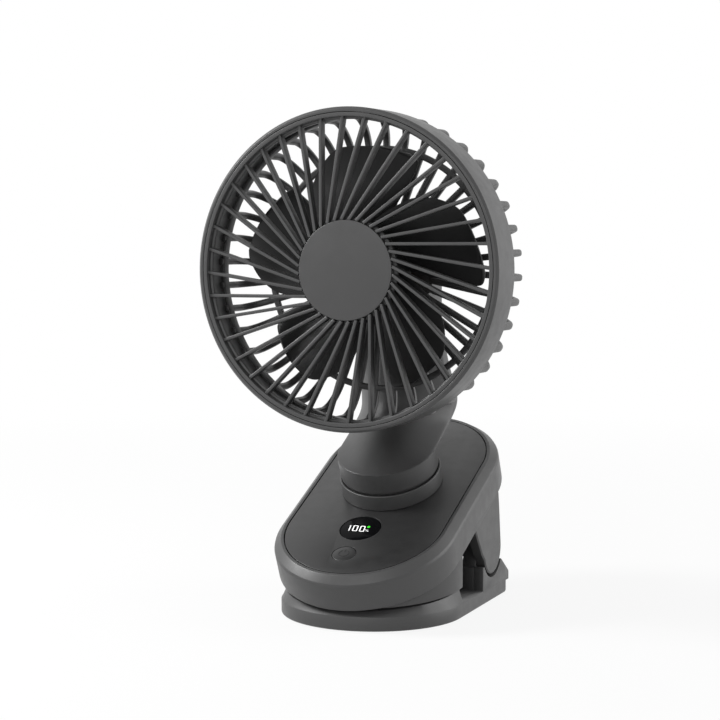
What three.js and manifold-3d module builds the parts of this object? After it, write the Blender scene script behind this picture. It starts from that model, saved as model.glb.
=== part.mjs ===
// Battery clip fan: a spring clip whose upper jaw is the housing, a neck that turns on it, a guarded head.
// Millimetres. +X right, -Y towards the front, +Z up. The origin lies on the underside of the foot pad.

import * as THREE from "three";
import { mergeVertices } from "three/addons/utils/BufferGeometryUtils.js";
import Module from "manifold-3d";

const wasm = await Module();
wasm.setup();

// ---------------------------------------------------------------- driving dimensions

const DEGREE = Math.PI / 180;

// shared by the clip's two jaws
const CLIP_HALF_WIDTH = 44.7;
const FIT = 0.3; // clearance between neighbouring pieces
const PARTING = 0.5; // visible gap round a lid or a cap
const RUNNING_FIT = 0.35; // radial clearance of a turning piece

// lower jaw
const FOOT_PAD_THICKNESS = 1.4;
const FOOT_PAD_PROUD = 0.4;
const FOOT_PAD_INSET = 7;
const PLATE_THICKNESS = 7;
const PLATE_EDGE_ROUND = 1.1;
const PLATE_FRONT_CENTRE = 14.5; // centre of the round front, along Y
const PLATE_REAR_END = 86;
const PLATE_CORNER_RADIUS = 7;
const RAMP_CHAMFER_WIDTH = 2.8;
const RAMP_CHAMFER_HEIGHT = 1.9;
const RAMP_SLOPE = 5.6 * DEGREE;
const RAMP_END = 18.5;
const JAW_PAD_THICKNESS = 1.6;
const JAW_PAD_PROUD = 0.5;
const JAW_PAD_INSET = 9;

// hinge between the jaws
const HINGE_Y = 60.3;
const HINGE_Z = 26;
const PIN_RADIUS = 2;
const LOBE_RADIUS = 12.3;
const LOBE_THICKNESS = 4.8;
const LOBE_APEX = [35.5, 38.2]; // where its front edge leaves the housing, as [y, z]
const LOBE_FRONT = [41.3, 30.4]; // a point part of the way down its front edge
const LOBE_REAR_SLANT = 4;
const SEAT_GAP = 1.6;
const EAR_FRONT = 46;
const EAR_TOP = 19;
const EAR_REAR = 72.4;
const EAR_TAIL_HEIGHT = 10.5;
const EAR_TAIL_END = 84.6;
const BRACKET_THICKNESS = 7;
const BRACKET_RADIUS = 8;
const SPRING_WIRE_RADIUS = 0.9;
const SPRING_COIL_RADIUS = 6.6;
const SPRING_TURNS = 5;
const SPRING_STEPS = 8; // steps in each turn of wire
const SPRING_PITCH = 2.6;
const SPRING_CENTRE_X = 15;
const SPRING_LEG = 20;

// housing: a round-ended slab whose top slopes down to the front
const SLOPE = 23.9 * DEGREE;
const SLAB_RISE = 39.1; // height of the slab's datum above the origin
const SLAB_FRONT_CENTRE = 5;
const SLAB_REAR_CENTRE = 66.6;
const SLAB_DEPTH = 14.5;
const SLAB_WALL = 2.4;
const SHOULDER_WIDTH = 5.3;
const SHOULDER_HEIGHT = 2.9;
const PANEL_THICKNESS = 1.8;
const PANEL_LEDGE_WIDTH = 2.2;
const PANEL_LEDGE_THICKNESS = 1.8;
const COVER_THICKNESS = 1.8;
const COVER_SCREW_HEAD_RADIUS = 2.4;
const SCREW_SHANK_RADIUS = 1.1;
const COVER_SCREW_LENGTH = 6;
const COVER_SCREW_INSET = 17; // from the clip's side
const COVER_SCREW_SHIFT = 8; // beyond the centres of the round ends
const COVER_BOSS_RADIUS = 3.4;
const COVER_BOSS_HEIGHT = 3;
const WEDGE_END = 17.4;
const WEDGE_SETBACK = 2.6; // of its round front behind the plate's
const WEDGE_REVEAL = 0.25; // how far the wedge's side lies behind the housing's
const SPRING_BRACKET_HALF_WIDTH = 27;
const SPRING_BRACKET_DEPTH = 14;
const SPRING_BRACKET_FRONT = 21;
const SPRING_BRACKET_LENGTH = 46;
const SPRING_BRACKET_THICKNESS = 1.4;

// controls on the panel
const CONTROL_X = -1.6;
const WINDOW_S = 3;
const WINDOW_RADIUS = 9.9;
const WINDOW_THICKNESS = 1.2;
const WINDOW_SINK = 0.25;
const BUTTON_S = -18.6;
const BUTTON_RADIUS = 5.7;
const BUTTON_TRAVEL = 0.6;
const BUTTON_CROWN = 0.35;
const BUTTON_FLANGE = 1;

// what the housing holds
const BATTERY_LENGTH = 50;
const BATTERY_WIDTH = 42;
const BATTERY_THICKNESS = 5.6;
const BATTERY_CORNER_RADIUS = 2;
const BATTERY_S = 1;
const BOARD_LENGTH = 46;
const BOARD_WIDTH = 40;
const BOARD_THICKNESS = 1.2;
const BOARD_S = -4;
const BOARD_DROP = 1.6; // below the ledge that carries the panel
const DISPLAY_SIZE = 13;
const SWITCH_SIZE = 6;
const SWITCH_BODY_HEIGHT = 1.1;
const SOCKET_WIDTH = 9;
const SOCKET_HEIGHT = 3.3;
const SOCKET_LENGTH = 7.4;
const SOCKET_WALL = 0.35;
const SOCKET_H = -6.5;
const CHARGE_BOARD_LENGTH = 16;
const CHARGE_BOARD_WIDTH = 18;

// swivel
const SWIVEL_S = 42.9;
const COLLAR_RADIUS = 24.9;
const COLLAR_WALL = 3.4;
const COLLAR_TOP = 11; // height of the rim above the slab's datum
const RIM_GAP = 0.7;
const TURNTABLE_RADIUS = 24.3;
const TURNTABLE_TOP = 22.5;
const SPIGOT_RADIUS = 12;
const SPIGOT_BORE = 6;
const RETAINER_RADIUS = 16;
const RETAINER_THICKNESS = 1.6;

// neck
const NECK_WALL = 2.2;
const NECK_STEPS = 20;
const NECK_CREASE = 0.6; // of the front cover's lower edge above the turntable
const NECK_COVER_DROP = 15; // of the front cover's top below the tilt pin
// Stations above the turntable's top, each as [back, up] from its middle, seen from the side: the front of the
// neck, the crease at its side where the front cover ends, and the rear. Then the change of half-width, how flat
// the front is drawn to the crease, and how square the rear is.
const NECK_STATIONS = [
  { front: [-17.8, -6], crease: [4.9, 2.5], rear: [25.7, 12.2], wider: 0, flat: 0.3, square: 2.4 },
  { front: [-11.5, -0.2], crease: [11.9, 6.2], rear: [30.1, 14.9], wider: 0, flat: 0.6, square: 3 },
  { front: [-4.1, 7], crease: [19.8, 11], rear: [34.1, 18], wider: 0, flat: 0.8, square: 3.6 },
  { front: [1.9, 13.6], crease: [24.7, 14.6], rear: [36.5, 21.2], wider: 0, flat: 0.85, square: 4 },
  { front: [6.1, 20.2], crease: [26.6, 18.4], rear: [37.3, 25], wider: -0.1, flat: 0.85, square: 4 },
  { front: [8.2, 31], crease: [25, 27], rear: [36.1, 33], wider: -0.8, flat: 0.75, square: 4 },
  { front: [7.3, 50], crease: [18.8, 48], rear: [29.6, 51], wider: -2.6, flat: 0.6, square: 4 },
];
const PIVOT_Y = 43;
const PIVOT_Z = 158;
const CHEEK_RADIUS = 9.5;
const CHEEK_INNER = 11.6;
const CHEEK_OUTER = 20.5;
const TILT_PIN_RADIUS = 2.2;

// head
const HEAD_Y = -21.9; // middle of the front ring
const HEAD_Z = 166.9;
const HEAD_TILT = 1.8 * DEGREE;
const HEAD_RADIUS = 75;
const BAND_DEPTH = 22.7;
const BAND_WALL = 2.2;
const RING_WIDTH = 4.5;
const RING_BEVEL = 1.2;
const RING_THICKNESS = 3.2;
const RIM_DEPTH = 2.8;
const RIM_OVERLAP = 1.6; // how far the grille's rim shows inside the ring
const RIB_COUNT = 40;
const FRONT_RIB_TOP = -1.1; // below the face of the ring
const FRONT_RIB_WIDTH = 1.5;
const FRONT_RIB_DEPTH = 4.4;
const FRONT_RIB_SWEEP = 20.5 * DEGREE;
const FRONT_RIB_PHASE = 1.9 * DEGREE;
const CAP_RADIUS = 23.2;
const CAP_FACE = -1.1;
const CAP_THICKNESS = 2.6;
const CAP_SEAT = 2.3; // how deep the ring that carries the cap reaches below it
const REAR_RIB_WIDTH = 3.2;
const REAR_RIB_DEPTH = 3.2;
const REAR_RIB_PHASE = -1.9 * DEGREE;
const REAR_STRAIGHT_DEPTH = 33;
const REAR_DEPTH = 47;
const REAR_RING_RADIUS = 57.3;
const REAR_RING_WIDTH = 3.2;
const REAR_RIM_TOP = -19.4; // of the rear guard's rim, which sits inside the band
const REAR_RIM_BOTTOM = -24.6;
const REAR_RIM_WALL = 2.5;
const MOTOR_PLATE_RADIUS = 27;
const MOTOR_PLATE_THICKNESS = 2.6;
const POST_RADIUS = 5.2;
const POST_BORE = 3.6;
const POST_TOP = -14;

// motor and rotor
const BLADE_COUNT = 5;
const BLADE_TIP_RADIUS = 57.8;
const BLADE_THICKNESS = 1.5;
const BLADE_CAMBER = 1.6;
// depths of a blade's front and rear edges below the face of the ring, at the root and at the tip
const BLADE_FRONT_DEPTHS = [13, 17.6];
const BLADE_REAR_DEPTHS = [29.2, 33.2];
const BLADE_CHORD_POINTS = 4;
const HUB_RADIUS = 21.5;
const HUB_FRONT = -7;
const HUB_REAR = -30;
const HUB_WALL = 1.6;
const CUP_WALL = 1;
const MAGNET_WALL = 2;
const AIR_GAP = 0.6;
const SHAFT_RADIUS = 1.5;
const STATOR_FRONT = -13;
const STATOR_TEETH = 6;
const STATOR_SLEEVE = 3;
const STATOR_SHOE = 2;
const STATOR_ARM_WIDTH = 5;
const MOTOR_BOARD_THICKNESS = 1.2;
const BEARING_LENGTH = 4;
const KNUCKLE_HALF_WIDTH = 10.6;
const KNUCKLE_RADIUS = 8.4;
const KNUCKLE_FOOT_RADIUS = 17;
const KNUCKLE_FOOT_THICKNESS = 2.4;

// how finely round shapes are cut
const RING_STEPS = 40;
const SWIVEL_STEPS = 24;
const SMALL_STEPS = 14;
const END_STEPS = 13; // steps round each half-round end

// ---------------------------------------------------------------- shape helpers

function clean(geometry) {
  const bare = geometry.index ? geometry.toNonIndexed() : geometry.clone();
  bare.deleteAttribute("normal");
  bare.deleteAttribute("uv");
  return mergeVertices(bare, 1e-4);
}

function solid(geometry) {
  const merged = clean(geometry);
  return new wasm.Manifold(new wasm.Mesh({
    numProp: 3,
    vertProperties: new Float32Array(merged.attributes.position.array),
    triVerts: new Uint32Array(merged.index.array),
  }));
}

function geometryOf(manifold) {
  const mesh = manifold.getMesh();
  const geometry = new THREE.BufferGeometry();
  const positions = new Float32Array(mesh.numVert * 3);
  for (let i = 0; i < mesh.numVert; i += 1) {
    for (let k = 0; k < 3; k += 1) {
      positions[3 * i + k] = mesh.vertProperties[mesh.numProp * i + k];
    }
  }
  geometry.setAttribute("position", new THREE.BufferAttribute(positions, 3));
  geometry.setIndex([...mesh.triVerts]);
  geometry.computeVertexNormals();
  return geometry;
}

function joined(parts) {
  return parts.reduce((sum, part) => sum.add(part));
}

// A solid of revolution about Z; the profile is a closed list of [radius, z].
function lathed(profile, steps = SMALL_STEPS) {
  const points = [...profile, profile[0]].map(([r, z]) => new THREE.Vector2(r, z));
  const geometry = new THREE.LatheGeometry(points, steps);
  geometry.rotateX(Math.PI / 2);
  return facingOut(geometry);
}

function facingOut(geometry) {
  const merged = clean(geometry);
  const index = merged.index;
  const keep = [];
  for (let i = 0; i < index.count; i += 3) {
    const [a, b, c] = [index.getX(i), index.getX(i + 1), index.getX(i + 2)];
    if (a !== b && b !== c && c !== a) {
      keep.push(a, b, c);
    }
  }
  merged.setIndex(keep);
  if (signedVolume(merged) < 0) {
    for (let i = 0; i < keep.length; i += 3) {
      [keep[i + 1], keep[i + 2]] = [keep[i + 2], keep[i + 1]];
    }
    merged.setIndex(keep);
  }
  return merged;
}

function signedVolume(geometry) {
  const position = geometry.attributes.position;
  const index = geometry.index;
  const corner = [new THREE.Vector3(), new THREE.Vector3(), new THREE.Vector3()];
  let volume = 0;
  for (let i = 0; i < index.count; i += 3) {
    corner.forEach((point, k) => point.fromBufferAttribute(position, index.getX(i + k)));
    volume += corner[0].dot(corner[1].clone().cross(corner[2])) / 6;
  }
  return volume;
}

function disc(radius, bottom, top, steps = SMALL_STEPS) {
  return lathed([[0, bottom], [radius, bottom], [radius, top], [0, top]], steps);
}

function tube(outer, inner, bottom, top, steps = SMALL_STEPS) {
  return lathed([[inner, bottom], [outer, bottom], [outer, top], [inner, top]], steps);
}

function box(width, depth, height, x = 0, y = 0, z = 0) {
  const geometry = new THREE.BoxGeometry(width, depth, height);
  geometry.translate(x, y, z);
  return geometry;
}

// An outline given as [y, z] points, made solid between two values of X.
function sidePrism(outline, fromX, toX) {
  const shape = new THREE.Shape(outline.map(([y, z]) => new THREE.Vector2(y, z)));
  const geometry = new THREE.ExtrudeGeometry(shape, { depth: toX - fromX, bevelEnabled: false });
  geometry.applyMatrix4(new THREE.Matrix4().makeBasis(
    new THREE.Vector3(0, 1, 0),
    new THREE.Vector3(0, 0, 1),
    new THREE.Vector3(1, 0, 0),
  ));
  geometry.translate(fromX, 0, 0);
  return facingOut(geometry);
}

function arc(centreY, centreZ, radius, fromAngle, toAngle, steps) {
  return Array.from({ length: steps + 1 }, (_, i) => {
    const angle = (fromAngle + (toAngle - fromAngle) * (i / steps)) * DEGREE;
    return [centreY + radius * Math.cos(angle), centreZ + radius * Math.sin(angle)];
  });
}

// A flat end whose ring runs out along one side and back along the other is closed by rungs between them.
function rungs(start, count, flipped) {
  const index = [];
  for (let k = 0; k < count / 2 - 1; k += 1) {
    const [a, b, c, d] = [start + k, start + k + 1, start + count - 2 - k, start + count - 1 - k];
    index.push(...(flipped ? [a, c, b, a, d, c] : [a, b, c, a, c, d]));
  }
  return index;
}

// Rings of equal length, joined by walls; open lists get end caps, closed ones meet themselves.
function loft(rings, closed = false, thinEnds = false) {
  const count = rings[0].length;
  const vertices = rings.flat();
  const index = [];
  const spans = closed ? rings.length : rings.length - 1;
  for (let i = 0; i < spans; i += 1) {
    const next = (i + 1) % rings.length;
    for (let k = 0; k < count; k += 1) {
      const [a, b] = [i * count + k, i * count + ((k + 1) % count)];
      const [c, d] = [next * count + k, next * count + ((k + 1) % count)];
      index.push(a, b, d, a, d, c);
    }
  }
  if (!closed) {
    [0, rings.length - 1].forEach((ring, end) => {
      if (thinEnds) {
        index.push(...rungs(ring * count, count, end === 0));
        return;
      }
      const centre = vertices.length;
      const sum = rings[ring].reduce((total, point) => total.add(point), new THREE.Vector3());
      vertices.push(sum.divideScalar(count));
      for (let k = 0; k < count; k += 1) {
        const [a, b] = [ring * count + k, ring * count + ((k + 1) % count)];
        index.push(...(end === 0 ? [centre, b, a] : [centre, a, b]));
      }
    });
  }
  const geometry = new THREE.BufferGeometry();
  geometry.setAttribute("position", new THREE.BufferAttribute(
    new Float32Array(vertices.flatMap((point) => [point.x, point.y, point.z])), 3));
  geometry.setIndex(index);
  return facingOut(geometry);
}

// A round-ended outline: half-circles of the given radius about two centres on the Y axis.
function stadium(radius, frontCentre, rearCentre, z, x = 0) {
  const points = [];
  for (let i = 0; i <= END_STEPS; i += 1) {
    const angle = Math.PI + (Math.PI * i) / END_STEPS;
    points.push(new THREE.Vector3(x + radius * Math.cos(angle), frontCentre + radius * Math.sin(angle), z));
  }
  for (let i = 0; i <= END_STEPS; i += 1) {
    const angle = (Math.PI * i) / END_STEPS;
    points.push(new THREE.Vector3(x + radius * Math.cos(angle), rearCentre + radius * Math.sin(angle), z));
  }
  return points;
}

function moved(geometry, x, y, z) {
  const copy = geometry.clone();
  copy.translate(x, y, z);
  return copy;
}

function alongX(geometry, x, y, z) {
  const copy = geometry.clone();
  copy.rotateY(Math.PI / 2);
  copy.translate(x, y, z);
  return copy;
}

// A pan-head screw that points along -Z, with its head's underside at z = 0.
function screw(headRadius, length) {
  const headHeight = 0.7 * headRadius;
  return lathed([
    [0, -length], [SCREW_SHANK_RADIUS * 0.6, -length], [SCREW_SHANK_RADIUS, 1.2 - length],
    [SCREW_SHANK_RADIUS, 0], [headRadius, 0], [headRadius, 0.5 * headHeight],
    [0.7 * headRadius, headHeight], [0, headHeight],
  ], 8);
}

// ---------------------------------------------------------------- scene graph

const fan = new THREE.Group();
const slab = new THREE.Group();
slab.position.set(0, 0, SLAB_RISE);
slab.rotation.x = SLOPE;
const head = new THREE.Group();
head.position.set(0, HEAD_Y, HEAD_Z);
head.rotation.x = Math.PI / 2 - HEAD_TILT;
fan.add(slab, head);

const finishes = {
  casing: { color: 0x4a4b4d, roughness: 0.55, metalness: 0 },
  panel: { color: 0x3d3e40, roughness: 0.5, metalness: 0 },
  blade: { color: 0x232426, roughness: 0.5, metalness: 0 },
  rubber: { color: 0x1c1c1d, roughness: 0.9, metalness: 0 },
  window: { color: 0x050506, roughness: 0.08, metalness: 0 },
  steel: { color: 0x9a9da1, roughness: 0.35, metalness: 1 },
  brass: { color: 0xb08d4a, roughness: 0.4, metalness: 1 },
  board: { color: 0x1f5a36, roughness: 0.6, metalness: 0 },
  cell: { color: 0x9fa6ad, roughness: 0.4, metalness: 0.3 },
  copper: { color: 0xa85a32, roughness: 0.5, metalness: 0.8 },
  magnet: { color: 0x2b2b2d, roughness: 0.7, metalness: 0.2 },
};

function place(parent, name, shape, finish) {
  const geometry = shape.isBufferGeometry ? shape : geometryOf(shape);
  const mesh = new THREE.Mesh(geometry, new THREE.MeshStandardMaterial(finishes[finish]));
  mesh.name = name;
  parent.add(mesh);
}

// A point of the world's Y-Z plane in the slab's own frame: along the slope, and square to the panel.
function slabPoint(y, z) {
  const rise = z - SLAB_RISE;
  return [y * Math.cos(SLOPE) + rise * Math.sin(SLOPE), rise * Math.cos(SLOPE) - y * Math.sin(SLOPE)];
}

const springSeat = -SLAB_DEPTH - FIT - SPRING_BRACKET_THICKNESS;

// ---------------------------------------------------------------- lower jaw

const plateBottom = FOOT_PAD_PROUD;
const plateTop = plateBottom + PLATE_THICKNESS;
const rampFoot = plateTop + RAMP_CHAMFER_HEIGHT;

function plateOutline(inset, z, rearEnd = PLATE_REAR_END - inset) {
  const radius = CLIP_HALF_WIDTH - inset;
  const corner = Math.max(PLATE_CORNER_RADIUS - inset, 0.5);
  const points = [];
  for (let i = 0; i <= 2 * END_STEPS; i += 1) {
    const angle = Math.PI + (Math.PI * i) / (2 * END_STEPS);
    const y = PLATE_FRONT_CENTRE + radius * Math.sin(angle);
    points.push(new THREE.Vector3(radius * Math.cos(angle), y, z));
  }
  const cornerSteps = 5;
  [1, -1].forEach((side) => {
    for (let i = 0; i <= cornerSteps; i += 1) {
      const turn = side > 0 ? i / cornerSteps : 1 - i / cornerSteps;
      const angle = (Math.PI / 2) * turn;
      points.push(new THREE.Vector3(
        side * (radius - corner + corner * Math.cos(angle)),
        rearEnd - corner + corner * Math.sin(angle),
        z,
      ));
    }
  });
  return points;
}

// The front part of the plate's outline, cut straight across at RAMP_END, with its height from a rule.
function rampOutline(inset, heightAt) {
  const radius = CLIP_HALF_WIDTH - inset;
  const points = [];
  for (let i = 0; i <= 2 * END_STEPS; i += 1) {
    const angle = Math.PI + (Math.PI * i) / (2 * END_STEPS);
    points.push([radius * Math.cos(angle), PLATE_FRONT_CENTRE + radius * Math.sin(angle)]);
  }
  points.push([radius, RAMP_END], [-radius, RAMP_END]);
  return points.map(([x, y]) => new THREE.Vector3(x, y, heightAt(y)));
}

function rampTop(y) {
  const front = PLATE_FRONT_CENTRE - CLIP_HALF_WIDTH;
  return rampFoot + Math.tan(RAMP_SLOPE) * (y - front);
}

function earOutline() {
  const seat = LOBE_RADIUS + SEAT_GAP;
  const drop = HINGE_Z - EAR_TOP;
  const reach = Math.sqrt(seat * seat - drop * drop);
  const dip = Math.asin(drop / seat) / DEGREE;
  return [
    [EAR_FRONT, plateTop - 1],
    [EAR_FRONT, EAR_TOP],
    [HINGE_Y - reach, EAR_TOP],
    ...arc(HINGE_Y, HINGE_Z, seat, 180 + dip, 360 - dip, 12).slice(1, -1),
    [HINGE_Y + reach, EAR_TOP],
    [Math.max(EAR_REAR, HINGE_Y + reach + 0.4), EAR_TOP],
    [EAR_TAIL_END, EAR_TAIL_HEIGHT],
    [EAR_TAIL_END, plateTop - 1],
  ];
}

function bracketOutline() {
  return [
    [EAR_FRONT, plateTop - 1],
    [EAR_FRONT, EAR_TOP],
    [HINGE_Y - BRACKET_RADIUS - 4, EAR_TOP],
    ...arc(HINGE_Y, HINGE_Z, BRACKET_RADIUS, 165, 0, 9),
    [HINGE_Y + BRACKET_RADIUS + 4, plateTop - 1],
  ];
}

const lobeInner = CLIP_HALF_WIDTH - LOBE_THICKNESS;
const bracketOuter = lobeInner - FIT;
const bracketInner = bracketOuter - BRACKET_THICKNESS;

function pinBore(radius, halfLength) {
  return solid(alongX(disc(radius, -halfLength, halfLength, 16), 0, HINGE_Y, HINGE_Z));
}

function jawPadOutline(inset, lift) {
  return rampOutline(inset, (y) => rampTop(y) + lift).map((point) => {
    point.y = Math.min(point.y, RAMP_END - 4 - inset * 0.1);
    point.z = rampTop(point.y) + lift;
    return point;
  });
}

function footPad(inset, bottom, top) {
  return loft([plateOutline(inset, bottom), plateOutline(inset, top)]);
}

function lowerJawPlate() {
  const rim = loft([
    plateOutline(PLATE_EDGE_ROUND, plateBottom),
    plateOutline(0.3 * PLATE_EDGE_ROUND, plateBottom + 0.3 * PLATE_EDGE_ROUND),
    plateOutline(0, plateBottom + PLATE_EDGE_ROUND),
    plateOutline(0, plateTop),
  ]);
  const ramp = loft([
    rampOutline(0, () => plateTop - 0.5),
    rampOutline(0, () => plateTop),
    rampOutline(RAMP_CHAMFER_WIDTH, rampTop),
  ]);
  const pieces = [solid(rim), solid(ramp)];
  [-1, 1].forEach((side) => {
    const span = (a, b) => (side > 0 ? [a, b] : [-b, -a]);
    pieces.push(solid(sidePrism(earOutline(), ...span(lobeInner - 0.2, CLIP_HALF_WIDTH))));
    pieces.push(solid(sidePrism(bracketOutline(), ...span(bracketInner, bracketOuter))));
  });
  const padBed = solid(loft([
    jawPadOutline(JAW_PAD_INSET - FIT, JAW_PAD_PROUD - JAW_PAD_THICKNESS - FIT),
    jawPadOutline(JAW_PAD_INSET - FIT, 3),
  ]));
  const footBed = solid(footPad(FOOT_PAD_INSET - FIT, -1, FOOT_PAD_THICKNESS + FIT));
  return joined(pieces)
    .subtract(padBed)
    .subtract(footBed)
    .subtract(pinBore(PIN_RADIUS + FIT, CLIP_HALF_WIDTH - 1));
}

// The angle at which a leg, tangent to the coil, comes to a given distance from the coil's middle.
function legAngle(distance) {
  const span = Math.hypot(SPRING_COIL_RADIUS, SPRING_LEG);
  return Math.asin(Math.min(distance / span, 1)) - Math.atan2(SPRING_COIL_RADIUS, SPRING_LEG);
}

// A torsion spring: a leg that runs back and down to the plate, the coil, and a leg that runs back and up to
// the housing, so that it holds the jaws shut in front of the hinge.
function torsionSpring(centreX) {
  const lowerReach = HINGE_Z - plateTop - SPRING_WIRE_RADIUS - FIT;
  const [, hingeDepth] = slabPoint(HINGE_Y, HINGE_Z);
  const upperReach = springSeat - hingeDepth - SPRING_WIRE_RADIUS - FIT;
  const startAngle = legAngle(lowerReach) - Math.PI / 2;
  const endAngle = Math.PI / 2 - legAngle(upperReach) - SLOPE + 2 * Math.PI * SPRING_TURNS;
  const turns = (endAngle - startAngle) / (2 * Math.PI);
  const total = Math.round(SPRING_STEPS * turns);
  const coil = Array.from({ length: total + 1 }, (_, i) => {
    const share = i / total;
    const angle = startAngle + (endAngle - startAngle) * share;
    return new THREE.Vector3(
      centreX + SPRING_PITCH * turns * (share - 0.5),
      HINGE_Y - SPRING_COIL_RADIUS * Math.cos(angle),
      HINGE_Z + SPRING_COIL_RADIUS * Math.sin(angle),
    );
  });
  const tangent = (angle) => new THREE.Vector3(
    0, SPRING_LEG * Math.sin(angle), SPRING_LEG * Math.cos(angle));
  const path = [
    coil[0].clone().sub(tangent(startAngle)),
    ...coil,
    coil[total].clone().add(tangent(endAngle)),
  ];
  const sides = 5;
  const rings = path.map((point, i) => {
    const before = path[Math.max(i - 1, 0)];
    const after = path[Math.min(i + 1, path.length - 1)];
    const along = after.clone().sub(before).normalize();
    const across = new THREE.Vector3(1, 0, 0).cross(along).normalize();
    const third = along.clone().cross(across);
    return Array.from({ length: sides }, (_, k) => {
      const angle = (2 * Math.PI * k) / sides;
      return point.clone()
        .addScaledVector(across, SPRING_WIRE_RADIUS * Math.cos(angle))
        .addScaledVector(third, SPRING_WIRE_RADIUS * Math.sin(angle));
    });
  });
  return { geometry: loft(rings), path };
}

// The least gap of a wound wire to itself, between points more than half a turn apart.
function leastSelfGap(path) {
  let least = Infinity;
  path.forEach((point, i) => {
    for (let k = i + 5; k < path.length; k += 1) {
      least = Math.min(least, point.distanceTo(path[k]) - 2 * SPRING_WIRE_RADIUS);
    }
  });
  return least;
}

place(fan, "lower_jaw_plate", lowerJawPlate(), "casing");
place(fan, "lower_jaw_pad", loft([
  jawPadOutline(JAW_PAD_INSET, JAW_PAD_PROUD - JAW_PAD_THICKNESS),
  jawPadOutline(JAW_PAD_INSET, JAW_PAD_PROUD),
]), "rubber");
place(fan, "foot_pad", footPad(FOOT_PAD_INSET, 0, FOOT_PAD_THICKNESS), "rubber");
const pinHalfLength = lobeInner + LOBE_THICKNESS / 2;
place(fan, "hinge_pin", alongX(
  disc(PIN_RADIUS, -pinHalfLength, pinHalfLength, 16), 0, HINGE_Y, HINGE_Z), "steel");
const sleeveRadius = SPRING_COIL_RADIUS * Math.cos(Math.PI / SPRING_STEPS) - SPRING_WIRE_RADIUS - FIT;
const sleeveHalfLength = bracketInner - FIT;
const sleeve = tube(sleeveRadius, PIN_RADIUS + FIT, -sleeveHalfLength, sleeveHalfLength, 16);
place(fan, "hinge_sleeve", alongX(sleeve, 0, HINGE_Y, HINGE_Z), "casing");
const spring = torsionSpring(SPRING_CENTRE_X);
const springRight = spring.geometry;
place(fan, "clip_spring_right", springRight, "steel");
place(fan, "clip_spring_left", moved(springRight, -2 * SPRING_CENTRE_X, 0, 0), "steel");
console.log(`clip spring: least gap to itself ${leastSelfGap(spring.path).toFixed(2)} mm`);

// ---------------------------------------------------------------- housing, in the slab's own frame
// X across, Y up the slope (called s), Z square to the panel (called h).

function slabLayer(inset, h) {
  return stadium(CLIP_HALF_WIDTH - inset, SLAB_FRONT_CENTRE, SLAB_REAR_CENTRE, h);
}

// A bore through the slab, square to the panel.
function slabBore(radius, x, s, bottom = -SLAB_DEPTH - 5, top = SHOULDER_HEIGHT + 5) {
  return solid(moved(disc(radius, bottom, top), x, s, 0));
}

const panelInset = SHOULDER_WIDTH + PARTING;
const panelTop = SHOULDER_HEIGHT;
const panelBottom = panelTop - PANEL_THICKNESS;
const ledgeTop = panelBottom - FIT;
const ledgeBottom = ledgeTop - PANEL_LEDGE_THICKNESS;
const coverBottom = -SLAB_DEPTH;
const coverTop = coverBottom + COVER_THICKNESS;
const slabRearEnd = SLAB_REAR_CENTRE + CLIP_HALF_WIDTH;

// The tongue that carries the hinge: the side wall carried on down to the pin.
function lobeOutline() {
  const world = [
    [LOBE_APEX[0] - 6, LOBE_APEX[1] + 2],
    LOBE_APEX,
    LOBE_FRONT,
    ...arc(HINGE_Y, HINGE_Z, LOBE_RADIUS, 195, 368, 14),
    [HINGE_Y + LOBE_RADIUS - 0.65 * LOBE_REAR_SLANT, HINGE_Z + 20],
    [HINGE_Y + LOBE_RADIUS - LOBE_REAR_SLANT, HINGE_Z + 28],
  ];
  return world.map(([y, z]) => slabPoint(y, z));
}

function lobes() {
  const outline = lobeOutline();
  const right = sidePrism(outline, lobeInner, CLIP_HALF_WIDTH);
  const left = sidePrism(outline, -CLIP_HALF_WIDTH, -lobeInner);
  return solid(right).add(solid(left));
}

function hingeBoreInSlab() {
  const [s, h] = slabPoint(HINGE_Y, HINGE_Z);
  const half = pinHalfLength + FIT;
  return solid(alongX(disc(PIN_RADIUS + FIT, -half, half, 16), 0, s, h));
}

function housingShell() {
  const wall = loft([
    slabLayer(0, coverBottom),
    slabLayer(0, -0.7),
    slabLayer(0.25, -0.2),
    slabLayer(0.9, 0.25),
    slabLayer(SHOULDER_WIDTH - 1.2, SHOULDER_HEIGHT - 0.35),
    slabLayer(SHOULDER_WIDTH - 0.6, SHOULDER_HEIGHT),
    slabLayer(SHOULDER_WIDTH, SHOULDER_HEIGHT),
    slabLayer(SHOULDER_WIDTH, ledgeTop),
    slabLayer(SHOULDER_WIDTH + PANEL_LEDGE_WIDTH, ledgeTop),
    slabLayer(SHOULDER_WIDTH + PANEL_LEDGE_WIDTH, ledgeBottom),
    slabLayer(SLAB_WALL, ledgeBottom - SHOULDER_WIDTH + SLAB_WALL),
    slabLayer(SLAB_WALL, coverBottom),
  ], true);
  const socketHole = solid(box(
    SOCKET_WIDTH + 2 * FIT, 6 * SLAB_WALL, SOCKET_HEIGHT + 2 * FIT, 0, slabRearEnd, SOCKET_H,
  ));
  return solid(wall).add(lobes()).subtract(hingeBoreInSlab()).subtract(socketHole);
}

const windowBore = WINDOW_RADIUS + FIT;
const buttonBore = BUTTON_RADIUS + FIT;
const spigotBore = SPIGOT_RADIUS + RUNNING_FIT;

function topPanel() {
  const body = loft([
    slabLayer(panelInset, panelBottom),
    slabLayer(panelInset, panelTop - 0.3),
    slabLayer(panelInset + 0.3, panelTop),
  ]);
  return solid(body)
    .subtract(slabBore(windowBore, CONTROL_X, WINDOW_S))
    .subtract(slabBore(buttonBore, CONTROL_X, BUTTON_S))
    .subtract(slabBore(spigotBore, 0, SWIVEL_S));
}

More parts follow.
